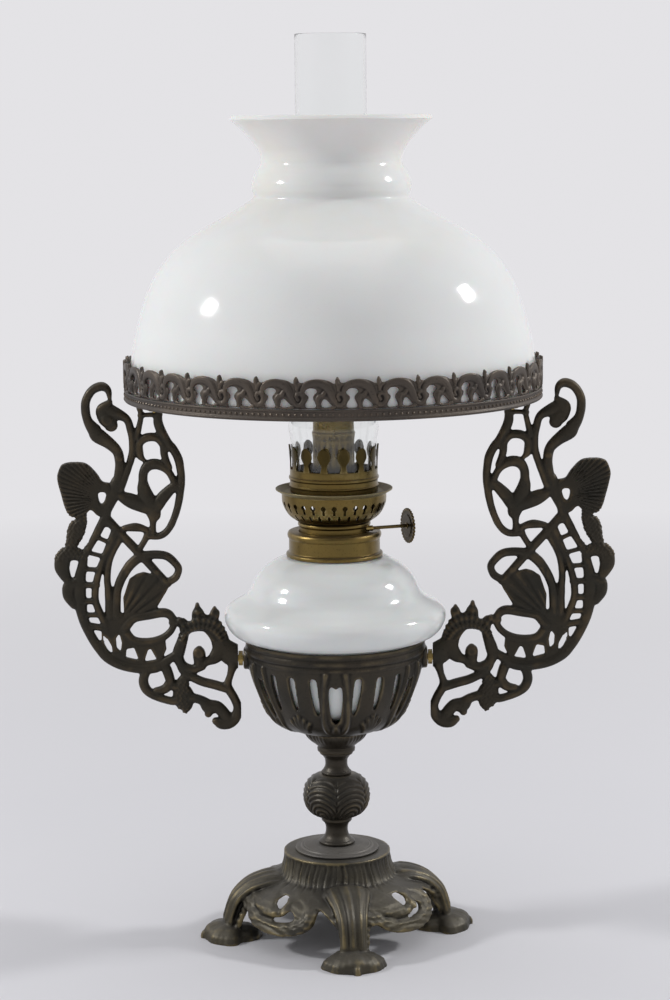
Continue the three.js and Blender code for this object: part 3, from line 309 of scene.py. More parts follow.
def worked(mesh, steps):
    """The mesh after modifiers, each step a kind and its settings."""
    holder = added("work", mesh)
    for kind, settings in steps:
        modifier = holder.modifiers.new(kind.lower(), kind)
        for setting, value in settings.items():
            setattr(modifier, setting, value)
    made = shown(holder)
    bpy.data.objects.remove(holder)
    bpy.data.meshes.remove(mesh)
    return made


def fused(shapes, grain, ease):
    """Shapes fused into one skin of small faces, its steps eased."""
    return worked(raw_mesh(shapes), [("REMESH", dict(mode="VOXEL", voxel_size=grain)),
                                     ("SMOOTH", dict(factor=0.5, iterations=ease))])


def pierced(shapes, cuts):
    """Shapes with cuts taken out, as one shape."""
    cutter = added("cutter", raw_mesh(cuts))
    mesh = worked(raw_mesh(shapes), [("BOOLEAN", dict(operation="DIFFERENCE", object=cutter, solver="MANIFOLD"))])
    bpy.data.objects.remove(cutter)
    points, _, faces = taken(mesh)
    return points, faces


def eased(mesh, values, rounds):
    """Values of the points, each averaged with its neighbours round by round."""
    edges = np.empty(len(mesh.edges) * 2, np.int32)
    mesh.edges.foreach_get("vertices", edges)
    left, right = edges.reshape(-1, 2).T
    count = len(mesh.vertices)
    degree = np.maximum(np.bincount(left, minlength=count) + np.bincount(right, minlength=count), 1)
    values = values.astype(float)
    for _ in range(rounds):
        totals = [np.bincount(left, values[:, k][right], count) + np.bincount(right, values[:, k][left], count)
                  for k in range(values.shape[1])]
        values = 0.4 * values + 0.6 * np.stack(totals, 1) / degree[:, None]
    return values


def mark_wear(mesh, rounds, reach):
    """Keeps how far each point stands proud of its surroundings, which is where a casting wears bright."""
    points, normals = read(mesh)
    proud = ((points - eased(mesh, points, rounds)) * normals).sum(1) / reach
    proud = eased(mesh, np.clip(proud, -1, 1)[:, None], 2)[:, 0]
    mesh.attributes.new("wear", "FLOAT", "POINT").data.foreach_set("value", proud.astype(np.float32))


def casting(shapes, grain, relief, rounds=14, reach=0.35):
    """Shapes fused into one cast skin with a fine relief, as a mesh in millimetres."""
    mesh = fused(shapes, grain, 3)
    points, normals = read(mesh)
    write(mesh, points + normals * relief(points, normals)[:, None])
    mark_wear(mesh, rounds, reach)
    return mesh


def fine(shapes, rounds=4, reach=0.2):
    """Shapes kept as they are, as a mesh in millimetres."""
    mesh = raw_mesh(shapes)
    mark_wear(mesh, rounds, reach)
    return mesh


def set_in_place(name, mesh, body, nodes, finish, sharp=40):
    """A piece of the lamp: it rides on a body and stands for nodes of the model."""
    mesh.name = name
    mesh.transform(Matrix.Scale(MM, 4))
    mesh.shade_smooth()
    mesh.set_sharp_from_angle(angle=math.radians(sharp))
    piece = added(name, mesh)
    mesh.materials.clear()
    mesh.materials.append(finish)
    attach(piece, body)
    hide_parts(*nodes)


def lathed(name, outline, ease, sides, body, nodes, finish):
    """A plain turned piece, set in its place."""
    set_in_place(name, fine([turned(softened(outline, ease), sides)]), body, nodes, finish)


def ripple(points, size, seed):
    """A smooth unevenness between -1 and 1, the same on every run."""
    draw = np.random.default_rng(seed)
    total = np.zeros(len(points))
    for _ in range(7):
        way = draw.normal(size=3)
        way *= TURN / (size * draw.uniform(0.7, 1.6) * np.linalg.norm(way))
        total += np.sin(points @ way + draw.uniform(0, TURN))
    return total / 7


# ---------------------------------------------------------------- finishes

def colour(rgb):
    """A colour as it is seen, 0 to 255, for a shader."""
    return tuple((c / 255) ** 2.2 for c in rgb) + (1.0,)


def step(tree, kind, values=None, **settings):
    """One node of a finish; a value is a number, a colour, or another node's output."""
    made = tree.nodes.new(kind)
    for setting, value in settings.items():
        setattr(made, setting, value)
    for socket, value in (values or {}).items():
        if isinstance(value, bpy.types.NodeSocket):
            tree.links.new(value, made.inputs[socket])
        else:
            made.inputs[socket].default_value = value
    return made


def effect(name, inputs, outputs):
    """An empty shader group with named sockets."""
    group = bpy.data.node_groups.new(name, "ShaderNodeTree")
    for label, kind, value in inputs:
        socket = group.interface.new_socket(label, in_out="INPUT", socket_type="NodeSocket" + kind)
        socket.default_value = value
    for label, kind in outputs:
        group.interface.new_socket(label, in_out="OUTPUT", socket_type="NodeSocket" + kind)
    return group, group.nodes.new("NodeGroupInput").outputs, group.nodes.new("NodeGroupOutput").inputs


def sums(tree, operation, *values, clamp=False):
    """What a sum makes of two or three values."""
    return step(tree, "ShaderNodeMath", dict(enumerate(values)), operation=operation, use_clamp=clamp).outputs[0]


def span(tree, value, low, high, start=0.0, end=1.0):
    """A value's place between two others, carried over to between start and end."""
    return step(tree, "ShaderNodeMapRange", {"Value": value, "From Min": low, "From Max": high,
                                             "To Min": start, "To Max": end}, clamp=True).outputs["Result"]


def blend_of(tree, share, first, second):
    """Two colours mixed by a share."""
    return step(tree, "ShaderNodeMix", {0: share, 6: first, 7: second}, data_type="RGBA").outputs[2]


def here(tree, kind="Object"):
    """Where a point of the piece lies, in metres."""
    return step(tree, "ShaderNodeTexCoord").outputs[kind]


def part_of(tree, place, axis="Z"):
    """One number of a place."""
    return step(tree, "ShaderNodeSeparateXYZ", {0: place}).outputs[axis]


def cloud(tree, place, size, detail=4.0):
    """Soft noise, from 0 to 1."""
    return step(tree, "ShaderNodeTexNoise", {"Vector": place, "Scale": size, "Detail": detail,
                                             "Roughness": 0.55}).outputs["Fac"]


def make_mottle():
    """Two tones drifting into each other, with darker freckles."""
    group, given, out = effect("mottle", [("First", "Color", (0.1, 0.1, 0.1, 1)),
                                          ("Second", "Color", (0.2, 0.2, 0.2, 1)),
                                          ("Freckle", "Color", (0.02, 0.02, 0.02, 1)), ("Drift", "Float", 30.0),
                                          ("Freckles", "Float", 0.4)], [("Color", "Color"), ("Mask", "Float")])
    place = here(group)
    drift = span(group, cloud(group, place, given["Drift"]), 0.34, 0.66)
    speckle = span(group, cloud(group, place, 900.0, 3.0), 0.58, 0.7)
    amount = sums(group, "MULTIPLY", speckle, given["Freckles"])
    tone = blend_of(group, drift, given["First"], given["Second"])
    group.links.new(blend_of(group, amount, tone, given["Freckle"]), out["Color"])
    group.links.new(drift, out["Mask"])
    return group


def make_edge_wear():
    """Where a casting stands proud it rubs bright; where it lies deep it keeps dirt."""
    group, given, out = effect("edge wear", [("Amount", "Float", 1.0), ("Start", "Float", 0.25)],
                               [("Worn", "Float"), ("Deep", "Float")])
    proud = step(group, "ShaderNodeAttribute", attribute_name="wear").outputs["Fac"]
    patches = span(group, cloud(group, here(group), 70.0, 5.0), 0.35, 0.65, -0.35, 0.35)
    worn = span(group, sums(group, "ADD", proud, patches), given["Start"], 1.0)
    group.links.new(sums(group, "MULTIPLY", worn, given["Amount"], clamp=True), out["Worn"])
    group.links.new(span(group, proud, -0.1, -0.7), out["Deep"])
    return group


def make_skin_grain():
    """The fine height of a cast, spun or rubbed surface."""
    group, given, out = effect("skin grain", [("Coarse", "Float", 500.0), ("Fine", "Float", 2500.0)],
                               [("Height", "Float")])
    place = here(group)
    coarse = cloud(group, place, given["Coarse"], 3.0)
    fine_grain = cloud(group, place, given["Fine"], 2.0)
    group.links.new(sums(group, "MULTIPLY_ADD", fine_grain, 0.4, coarse), out["Height"])
    return group


def make_dust():
    """Fine grey dust settled in patches on what faces up."""
    group, given, out = effect("settled dust", [("Amount", "Float", 0.5)], [("Mask", "Float")])
    up = span(group, part_of(group, here(group, "Normal")), 0.3, 0.95)
    patches = span(group, cloud(group, here(group), 55.0, 5.0), 0.3, 0.62, 0.45, 1.0)
    lying = sums(group, "MULTIPLY", up, patches)
    group.links.new(sums(group, "MULTIPLY", lying, given["Amount"], clamp=True), out["Mask"])
    return group


MOTTLE, EDGE_WEAR, SKIN_GRAIN, DUST = make_mottle(), make_edge_wear(), make_skin_grain(), make_dust()
DUST_GREY = colour((104, 101, 95))
PLAIN_DIRT = (0.01, 0.009, 0.008, 1)


class Finish:
    """A material being made, with its node tree and its shader."""

    def __init__(self, name):
        self.material = bpy.data.materials.new(name)
        self.material.use_nodes = True
        self.tree = self.material.node_tree
        self.shader = self.tree.nodes["Principled BSDF"]

    def feed(self, socket, output):
        """Joins an output to one of the shader's inputs."""
        self.tree.links.new(output, self.shader.inputs[socket])

    def set(self, **values):
        """Sets plain values, their inputs' names written with low lines."""
        for label, value in values.items():
            self.shader.inputs[label.replace("_", " ")].default_value = value

    def placed(self, group, **values):
        """The outputs of a shared effect."""
        made = self.tree.nodes.new("ShaderNodeGroup")
        made.node_tree = group
        for label, value in values.items():
            made.inputs[label].default_value = value
        return made.outputs

    def mottle(self, first, second, freckle, **values):
        """Two tones and their freckles, as colours from 0 to 255."""
        return self.placed(MOTTLE, First=colour(first), Second=colour(second), Freckle=colour(freckle), **values)

    def bump(self, height, strength, distance):
        """Lets a height show as relief."""
        bumped = step(self.tree, "ShaderNodeBump", {"Strength": strength, "Distance": distance, "Height": height})
        self.feed("Normal", bumped.outputs[0])


def metal(name, first, second, freckle, bright, worn=0.8, start=0.25, drift=30.0, rough=(0.34, 0.5), bump=0.12,
          metallic=1.0, deep=None, dust=0.3, soot=None):
    """A patinated metal: drifting tones, dirt in the hollows, rubbed edges, settled dust, soot above a height."""
    finish = Finish(name)
    tree = finish.tree
    dirt = colour(deep) if deep else PLAIN_DIRT
    settled = finish.placed(DUST, Amount=dust)["Mask"]
    tones = finish.mottle(first, second, freckle, Drift=drift)
    wear = finish.placed(EDGE_WEAR, Amount=worn, Start=start)
    dirty = blend_of(tree, wear["Deep"], tones["Color"], dirt)
    rubbed = blend_of(tree, wear["Worn"], dirty, colour(bright))
    if soot:
        sooty = span(tree, part_of(tree, here(tree)), *soot, 0.0, 0.7)
        rubbed = blend_of(tree, sooty, rubbed, dirt)
    finish.feed("Base Color", blend_of(tree, settled, rubbed, DUST_GREY))
    polished = sums(tree, "MULTIPLY_ADD", wear["Worn"], -0.12, span(tree, tones["Mask"], 0.0, 1.0, *rough))
    finish.feed("Roughness", sums(tree, "MULTIPLY_ADD", settled, 0.35, polished))
    finish.feed("Metallic", span(tree, settled, 0.0, 1.0, metallic, 0.1))
    finish.bump(finish.placed(SKIN_GRAIN)["Height"], bump, 0.0006)
    return finish.material


DARK_PATINA = metal("dark_patina", (52, 50, 45), (68, 62, 53), (30, 28, 25), (116, 104, 80), worn=0.5, start=0.35,
                    rough=(0.3, 0.46), metallic=0.75, deep=(28, 27, 24), dust=0.4)
ARM_PATINA = metal("arm_patina", (52, 50, 44), (66, 60, 50), (32, 30, 26), (106, 90, 66), worn=0.45, start=0.4,
                   rough=(0.42, 0.58), metallic=0.7, deep=(40, 38, 33), dust=0.25)
RING_PATINA = metal("ring_patina", (72, 67, 63), (92, 84, 76), (42, 38, 36), (112, 98, 82), worn=0.3, start=0.45,
                    rough=(0.38, 0.54), metallic=0.75, deep=(38, 34, 32), dust=0.35)
# A lighter grey copy of the patina for the up-facing disc: heavy settled dust, and pale tones that are partly a
# painted sheen of its lit top.
DUST_AND_SHEEN_PATINA = metal("dust_and_sheen_patina", (94, 92, 89), (110, 106, 101), (60, 58, 55), (150, 142, 122), worn=0.35,
                     start=0.42, rough=(0.4, 0.56), metallic=0.6, deep=(52, 50, 48), dust=0.6)
WORN_PATINA = metal("worn_patina", (65, 63, 58), (82, 77, 64), (38, 36, 31), (152, 136, 96), worn=0.5, start=0.42,
                    rough=(0.36, 0.52), metallic=0.8, deep=(34, 32, 28), dust=0.4)
AGED_BRASS = metal("aged_brass", (92, 83, 54), (126, 106, 62), (50, 45, 30), (182, 164, 118), worn=0.75, start=0.28,
                   rough=(0.2, 0.38), bump=0.07, drift=24.0, deep=(42, 37, 24))
BRIGHT_BRASS = metal("bright_brass", (150, 130, 82), (176, 152, 98), (80, 68, 42), (214, 192, 134), start=0.2,
                     rough=(0.24, 0.38), bump=0.05)
SOOTY_BRASS = metal("sooty_brass", (92, 83, 54), (126, 106, 62), (50, 45, 30), (182, 164, 118), worn=0.6,
                    start=0.28, rough=(0.22, 0.4), bump=0.07, drift=24.0, deep=(42, 37, 24), soot=(0.2755, 0.2815))
# A lighter copy of the aged brass for the plate: its pale tones and light hollows are painted light, a painted
# reflection of the bright room on its upturned face.
SHEEN_PAINTED_BRASS = metal("sheen_painted_brass", (120, 112, 84), (146, 134, 100), (70, 62, 44), (188, 174, 134), worn=0.6,
                   start=0.28, rough=(0.38, 0.52), bump=0.07, drift=24.0, metallic=0.85, deep=(72, 64, 44))
DARK_BRASS = metal("dark_brass", (62, 54, 38), (78, 67, 46), (36, 31, 23), (112, 96, 62), worn=0.7,
                   rough=(0.32, 0.48), bump=0.08, deep=(30, 26, 18))
STEEL = metal("steel", (120, 120, 118), (146, 146, 142), (70, 62, 54), (190, 190, 186), rough=(0.3, 0.45), bump=0.08)


def opal_finish():
    """Milk glass, a little cream near the heat, with faint dust and scuffs."""
    finish = Finish("opal_glass")
    tree = finish.tree
    place = here(tree)
    near_heat = span(tree, part_of(tree, place), 0.395, 0.43)
    stain = sums(tree, "MULTIPLY", near_heat, span(tree, cloud(tree, place, 18.0), 0.4, 0.7))
    warm = blend_of(tree, stain, colour((229, 230, 228)), colour((226, 220, 204)))
    tones = finish.mottle((230, 231, 230), (222, 224, 224), (196, 192, 182), Drift=14.0, Freckles=0.12)
    finish.feed("Base Color", blend_of(tree, 0.5, warm, tones["Color"]))
    finish.feed("Roughness", span(tree, cloud(tree, place, 60.0, 6.0), 0.3, 0.75, 0.07, 0.15))
    finish.bump(finish.placed(SKIN_GRAIN, Coarse=40.0, Fine=900.0)["Height"], 0.02, 0.001)
    finish.set(IOR=1.5, Subsurface_Weight=0.12, Subsurface_Scale=0.01)
    return finish.material


def clear_finish():
    """Clear glass, a little smoky and uneven in places."""
    finish = Finish("clear_glass")
    tree = finish.tree
    tones = finish.mottle((254, 254, 254), (251, 253, 252), (236, 236, 230), Drift=10.0, Freckles=0.1)
    finish.feed("Base Color", tones["Color"])
    finish.feed("Roughness", span(tree, cloud(tree, here(tree), 45.0, 6.0), 0.35, 0.8, 0.0, 0.09))
    finish.bump(finish.placed(SKIN_GRAIN, Coarse=22.0, Fine=300.0)["Height"], 0.03, 0.001)
    finish.set(Transmission_Weight=1.0, IOR=1.46)
    return finish.material


def cotton_finish():
    """Woven cotton, charred where it burns."""
    finish = Finish("cotton")
    tree = finish.tree
    place = here(tree)
    tones = finish.mottle((214, 204, 180), (192, 178, 148), (120, 104, 80), Drift=60.0, Freckles=0.3)
    charred = span(tree, part_of(tree, place), 0.303, 0.312)
    finish.feed("Base Color", blend_of(tree, charred, tones["Color"], colour((48, 40, 34))))
    weave = step(tree, "ShaderNodeTexWave", {"Vector": place, "Scale": 900.0, "Distortion": 1.5},
                 bands_direction="Z")
    finish.bump(weave.outputs["Fac"], 0.5, 0.0004)
    finish.feed("Roughness", span(tree, tones["Mask"], 0.0, 1.0, 0.85, 0.97))
    return finish.material


OPAL, CLEAR, COTTON = opal_finish(), clear_finish(), cotton_finish()


# ---------------------------------------------------------------- foot and stem

ROD_HOLE = 3.8
FOOT_TOP, FOOT_REACH = 50.5, 81.4
LEG_TURNS = [math.radians(8 + 90 * i) for i in range(4)]
QUARTER = TURN / 4

# The web between two legs, in shares of the way round from one leg to the next, and heights. The last number
# of a flow is its half width in millimetres.
WEB_EDGE = [(0.02, 35.8), (0.5, 35.8), (0.98, 35.8), (1.0, 32), (0.99, 20), (0.965, 8), (0.94, 8), (0.93, 14),
            (0.905, 19.5), (0.86, 24), (0.815, 26.8), (0.78, 28), (0.765, 25), (0.75, 20.5), (0.7, 16.4),
            (0.62, 13.8), (0.52, 12.4), (0.42, 12.5), (0.32, 13.8), (0.23, 16.6), (0.165, 20.2), (0.12, 18),
            (0.1, 8), (0.04, 8), (0.01, 20), (0.0, 34)]
WEB_HOLES = [[(0.4, 29.6), (0.42, 27.4), (0.455, 26.2), (0.49, 27.2), (0.505, 29.6), (0.48, 31.6), (0.43, 31.8)],
             [(0.37, 20.6), (0.44, 21.4), (0.51, 22.8), (0.545, 25.4), (0.57, 26.4), (0.595, 25.2), (0.605, 22.9),
              (0.58, 21), (0.51, 19.8), (0.43, 19.4)]]
WEB_FLOWS = [[(0.0, 32, 6), (0.1, 28, 5), (0.2, 20.6, 4.2), (0.32, 17, 3.6), (0.47, 15.8, 3.5), (0.62, 17.6, 3.6),
              (0.7, 22, 3.4), (0.715, 27.5, 3.2), (0.68, 32, 3), (0.61, 34.2, 2.8), (0.53, 32, 2.6),
              (0.51, 27.5, 2.4),
              (0.56, 23.8, 2)],
             [(0.0, 35.5, 4), (0.14, 32.4, 4.4), (0.27, 28, 4), (0.37, 25, 2.6), (0.45, 24.2, 1.8)],
             [(0.1, 36, 2.6), (0.24, 34, 3.4), (0.34, 30.8, 2.6), (0.4, 27, 1.8)],
             [(0.36, 35.6, 2.4), (0.45, 34.4, 2.4), (0.56, 35.2, 2.4)],
             [(0.5, 35.6, 2.4), (0.66, 34.8, 3), (0.8, 31.4, 4), (0.9, 26, 4.2), (0.955, 20, 3.8), (0.985, 8, 3.4)],
             [(0.8, 35.8, 2.6), (0.9, 34, 3.6), (1.0, 31.5, 4.6)]]
WEB_LENGTH = 80.0
WEB_SUNK = 0.6


def web_radius(share, height):
    """How far out the web lies, which is further near the legs than between them."""
    middle = np.interp(height, [8, 12, 16, 20, 25, 29, 31.5, 33.5, 35, 36],
                       [59, 58, 56.5, 55.3, 53, 49, 44.5, 39.5, 35.4, 33.6])
    beside = np.interp(height, [6, 14, 23, 30, 32.6, 34.5, 36], [66, 63.5, 59.5, 51, 43.5, 37.5, 33.6])
    near = ramp(1 - np.minimum(share, 1 - share) / 0.2) ** 2
    return middle + (beside - middle) * near


def web():
    """The pierced panel between two legs, its scrolls raised and fluted along their flow."""
    scale = np.array([WEB_LENGTH, 1.0])
    outlines = [flowing(outline, 3, True) * scale for outline in [WEB_EDGE, *WEB_HOLES]]
    points, _, faces = taken(fused([slab(outlines, 3.4)], WEB_GRAIN, 2))
    x, depth, z = points.T
    proud = np.full(len(x), -WEB_SUNK)
    for flow in WEB_FLOWS:
        rows = flowing(flow, 8)
        across = across_flow(x, z, rows[:, :2] * scale, rows[:, 2])
        flutes = (0.4 * np.cos(across * TURN * 1.5) + 0.2 * np.cos(across * TURN * 3.5)) * (across < 1)
        proud = np.maximum(proud, 1.9 * np.sqrt(ramp(1 - across ** 2)) + flutes - 0.5)
    share = ramp(x / WEB_LENGTH)
    veins = 0.36 * np.cos((z * 0.9 + 9 * share + 1.6 * np.sin(share * 11)) * TURN / 3.2)
    reach = web_radius(share, z) - depth + np.where(depth < 0, proud + veins, 0)
    return round_about(reach, share * QUARTER, z), faces


def leg():
    """A leg that sweeps down from the bell, and the pad it ends in."""
    rows = flowing([(33, 34.6, 12), (38, 34.8, 13.5), (45, 33.6, 12.6), (53, 30.2, 10.6), (60, 23.2, 8.8),
                    (63.6, 14, 8), (65, 6, 8.4)], 6)
    path = upright(rows[:, 0], rows[:, 1])
    ahead = unit(np.gradient(path, axis=0))
    shank = oval(path, rows[:, 2], 3.7, upright(-ahead[:, 2], ahead[:, 0]))
    rows = flowing([(59, 14, 8), (61.5, 18, 9), (64.5, 19.2, 9.6), (68, 18.4, 9.6), (71.5, 16.2, 9.2),
                    (75, 12.8, 8.4), (77.6, 8.6, 7), (79.2, 2.2, 4.6)], 5)
    pad = oval(upright(rows[:, 0], 0 * rows[:, 0]), rows[:, 1], rows[:, 2:3], np.array((0, 0, 1.0)))
    return [shank, pad]


def foot_relief(points, normals):
    """Ridges down the legs, a fan on each toe, and bark-like grooves on the bell."""
    x, y, z = points.T
    radius = np.hypot(x, y)
    turn = (np.arctan2(y, x) - LEG_TURNS[0] + QUARTER / 2) % QUARTER - QUARTER / 2
    across = radius * np.sin(turn)
    out = radius * np.cos(turn)
    width = np.interp(out, [33, 38, 45, 53, 60, 66], [13, 13.5, 12.6, 10.6, 8.8, 8.4])
    on_leg = ramp((width - np.abs(across)) / 2) * ramp((radius - 36) / 3) * ramp((z - 10) / 3)
    ridges = (0.5 * np.cos(across / width * TURN * 1.7 + 0.7) + 0.15 * np.cos(across / width * TURN * 4.2)) * on_leg
    fan = np.arctan2(across, out - 57)
    on_toe = ramp((out - 66) / 3) * ramp((11 - z) / 2)
    scallops = (0.24 * np.cos(fan * TURN / 0.6) + 0.06 * np.cos(fan * TURN / 0.17)) * on_toe
    bark = ramp((41 - radius) / 5) * ramp((z - 31) / 5) * ramp((49.2 - z) / 1.2)
    outside = ramp((normals[:, 0] * x + normals[:, 1] * y) / np.maximum(radius, 1) * 2)
    angle = np.arctan2(y, x) + 0.02 * np.sin(z * 0.35 + 3 * np.arctan2(y, x)) + 0.03 * ripple(points, 16, 3)
    fibres = np.cos(angle * 61) + 0.7 * np.cos(angle * 97 + 1) + 0.5 * np.cos(angle * 37 + 2)
    grooves = 0.3 * bark * outside * fibres * (0.75 + 0.5 * ripple(points * (1, 1, 0.4), 9, 8))
    return ridges + scallops + grooves + 0.1 * ripple(points, 9, 5)


def make_foot():
    """The bell with its rim, four legs and the webs between them, as one casting."""
    outer = flowing([(30.8, 48.9), (31.3, 45), (32.4, 41), (34.1, 37.4), (36.6, 34.6), (40, 32)], 5)
    inner = outer[::-1] + (-3.8, -0.4)
    wall = np.concatenate([[(27, FOOT_TOP), (31, FOOT_TOP)], outer, inner,
                           [(27, 46), (ROD_HOLE, 46), (ROD_HOLE, FOOT_TOP)]])
    rim = [(28.6, 48.8), (31.3, 48.8), (31.5, 50), (31.1, FOOT_TOP), (28.6, FOOT_TOP)]
    shapes = [turned(softened(wall, 0.7), 180), turned(softened(rim, 0.4), 180)]
    panel = web()
    for turn in LEG_TURNS:
        shapes += [spun(shape, turn) for shape in [*leg(), panel]]
    mesh = casting(shapes, FOOT_GRAIN, foot_relief, rounds=16, reach=0.5)
    points, _ = read(mesh)
    radius = np.hypot(points[:, 0], points[:, 1])
    points[:, 2] = np.clip(points[:, 2], 0, FOOT_TOP)
    points[:, :2] *= np.minimum(1, FOOT_REACH / np.maximum(radius, 1))[:, None]
    write(mesh, points)
    set_in_place("foot_cast", mesh, "stand", ["foot_casting"], WORN_PATINA, sharp=60)


def threaded(line):
    """The outline of a piece of the stem, with the hole that the tie rod goes through."""
    line = np.array(line, float)
    return np.concatenate([line, [(ROD_HOLE, line[-1][1]), (ROD_HOLE, line[0][1])]])


def knop_leaves(turn, radius, height):
    """Two leaf fans that meet at the front, their arcs rising to both sides."""
    around = (turn + TURN / 4 + TURN / 12) % (TURN / 6) - TURN / 12
    run = np.hypot(np.abs(np.abs(around) - TURN / 12) * 19.5, (height - 72) * 0.9)
    body = ramp((radius - 11) / 3)
    return body * (0.34 * np.cos(run * TURN / 2.6) - 0.5 * np.exp(-(around * 19.5 / 0.8) ** 2))


def calyx_flutes(turn, radius, height):
    """Eight leaves that grow deeper toward the lip, each with its veins."""
    body = ramp((radius - 12) / 3)
    rise = (height - 114) / 8
    around = (turn * 8 / TURN) % 1 - 0.5
    return body * (0.7 * np.cos(around * TURN) * rise + 0.25 * np.cos(around * TURN * 5) * rise)


def make_stem():
    """The disc, spools, knop and calyx that stand on each other round the tie rod."""
    disc = [(24.3, 50.8), (24.5, 51.6), (24.1, 52.1), (21.4, 52.3), (21.1, 52.9), (20.6, 53.3), (19.6, 53.2),
            (19.2, 53.5), (15, 54.0)]
    # The disc takes the lighter patina copy: settled dust, and a top partly lit by painted sheen.
    lathed("foot_disc", threaded(disc), 0.3, 180, "stand", ["foot_top_disc"], DUST_AND_SHEEN_PATINA)
    lower = [(10.6, 54.3), (10.6, 55.4), (9.8, 56.2),
             *flowing([(9.2, 56.4), (7.4, 58.6), (6.5, 61.5), (6.6, 64.6), (7.6, 67)], 5),
             (8.6, 67.6), (9, 68.4), (8.9, 69.6), (8.4, 70.2)]
    lathed("lower_spool_cast", threaded(lower), 0.3, 120, "stand", ["stem_lower_spool"], DARK_PATINA)
    upper = [(8.8, 96.3), (8.9, 97.4),
             *flowing([(8.0, 98.2), (6.7, 100.6), (6.5, 103), (6.9, 105.4), (8.6, 107.6)], 5),
             (9.6, 108.2), (9.8, 109.3), (9.4, 109.7)]
    lathed("upper_spool_cast", threaded(upper), 0.3, 120, "stand", ["stem_upper_spool"], DARK_PATINA)
    knop = flowing([(9.2, 70.5), (14, 72.2), (17.6, 76), (19.3, 81), (19.3, 85), (18.2, 90), (14.6, 94), (10, 96)], 9)
    mesh = fine([turned(threaded(knop), 420, knop_leaves)], rounds=6, reach=0.3)
    set_in_place("knop_cast", mesh, "stand", ["stem_knop"], DARK_PATINA, sharp=60)
    calyx = flowing([(10.9, 110), (11.1, 111.6), (10.8, 113), (12.6, 114.6), (15.6, 117.2), (17.6, 119.6),
                     (18.7, 122.2)], 8)
    mesh = fine([turned(threaded(calyx), 320, calyx_flutes)], rounds=6, reach=0.3)
    set_in_place("calyx_cast", mesh, "stand", ["calyx_cup"], DARK_PATINA, sharp=60)


# ---------------------------------------------------------------- basket

BASKET_REPEATS = 6
BASKET_FLOOR, BASKET_TOP = 122.85, 177.7
BOWL_LINE = flowing([(14, 122.8), (22, 123.3), (28, 125.2), (33.5, 128), (38.2, 132), (42.3, 139), (46.2, 147),
                     (49.4, 156), (50.9, 163), (51.3, 168.4)], 6)


def opening(width, low, high, lean=0.0, dip=False):
    """The outline of one opening of the basket, its foot narrow."""
    top = [(-0.5, 0.72), (-0.46, 0.93), (-0.3, 1), (0, 0.94 if dip else 1.02), (0.3, 1), (0.46, 0.93), (0.5, 0.72)]
    foot = [(0.42, 0.4), (0.3, 0.14), (0, 0), (-0.3, 0.14), (-0.42, 0.4)]
    across, up = flowing(top + foot, 3, True).T
    return np.stack([across * width + lean * (1 - up), low + up * (high - low)], 1)


def leaf_on_bowl(rows, thickness=1.4):
    """A leaf that lies on the bowl: rows of its way round in millimetres, its height and its half width."""
    side, height, half_width = flowing(rows, 5).T
    radius = np.interp(height, BOWL_LINE[:, 1], BOWL_LINE[:, 0])
    path = round_about(radius + 0.2, side / radius - TURN / 4, height)
    return oval(path, half_width, thickness, unit(path * (1, 1, 0)))


def make_basket():
    """The pierced bowl with its rim, leaves and the two bosses that the arms are joined to."""
    inner = BOWL_LINE[BOWL_LINE[:, 1] > 126.2] - (2.7, 0)
    wall = np.concatenate([BOWL_LINE, [(49.7, 168.4)], inner[::-1],
                           [(24, 125.9), (ROD_HOLE, 125.9), (ROD_HOLE, 122.8)]])
    openings = [(0, opening(7.8, 134.7, 159, dip=True)), (15, opening(4.3, 140.5, 163, -1.2)),
                (-15, opening(4.3, 140.5, 163, 1.2)), (30, opening(4.1, 142.5, 163))]
    middles = ring_of(BASKET_REPEATS, lambda turn: turn)
    cuts = [spun(slab([cut], 26), middle + math.radians(degrees), (0, -48, 0))
            for middle in middles for degrees, cut in openings]
    bowl = pierced([turned(wall, 192)], cuts)
    rim = turned(softened([(49.7, 167.6), (51.7, 167.6), (52.0, 168.6), (51.4, 169.4), (51.4, 170.6), (52.4, 171.2),
                           (52.5, 173.4), (51.9, 174), (51.9, 174.8), (52.5, 175.4), (52.5, 177.2),
                           (52.1, BASKET_TOP), (49.7, BASKET_TOP)], 0.3), 192)
    palm = [leaf_on_bowl([(lobe * 0.8, 127.5, 0.8), (lobe * 1.7, 133.5 - abs(lobe) * 0.8, 1.3),
                          (lobe * 2.9, 139.6 - abs(lobe) * 2.2, 1.1)]) for lobe in (-2, -1, 0, 1, 2)]
    blades = [leaf_on_bowl([(side * 1.5, 126, 1.0), (side * 4.5, 130, 1.5), (side * 6.6, 136, 1.3),
                            (side * 6.9, 146, 1.3), (side * 6.4, 158, 1.4), (side * 5.6, 166, 1.6)], 1.5)
              for side in (-1, 1)]
    bud = leaf_on_bowl([(0, 124.6, 1.6), (0, 128.5, 2.6), (0, 132.8, 1.2)], 1.6)
    shapes = [bowl, rim]
    for middle in middles:
        shapes += [spun(leaf, middle + TURN / 12) for leaf in palm]
        shapes += [spun(leaf, middle) for leaf in [*blades, bud]]
    shapes += [rod((side * 49.7, 0, 165.5), (side * 53.6, 0, 165.5), 6.5, 48, 0.6) for side in (1, -1)]
    mesh = casting(shapes, BASKET_GRAIN, lambda points, normals: 0.1 * ripple(points, 7, 11))
    points, _ = read(mesh)
    points[:, 2] = np.clip(points[:, 2], BASKET_FLOOR, BASKET_TOP)
    write(mesh, points)
    set_in_place("basket_cast", mesh, "stand", ["font_basket"], DARK_PATINA, sharp=60)


# ---------------------------------------------------------------- arms: rows of (share of reach, share of height,
# share of the strand's width); the root is on the basket's boss and the head under the shade ring

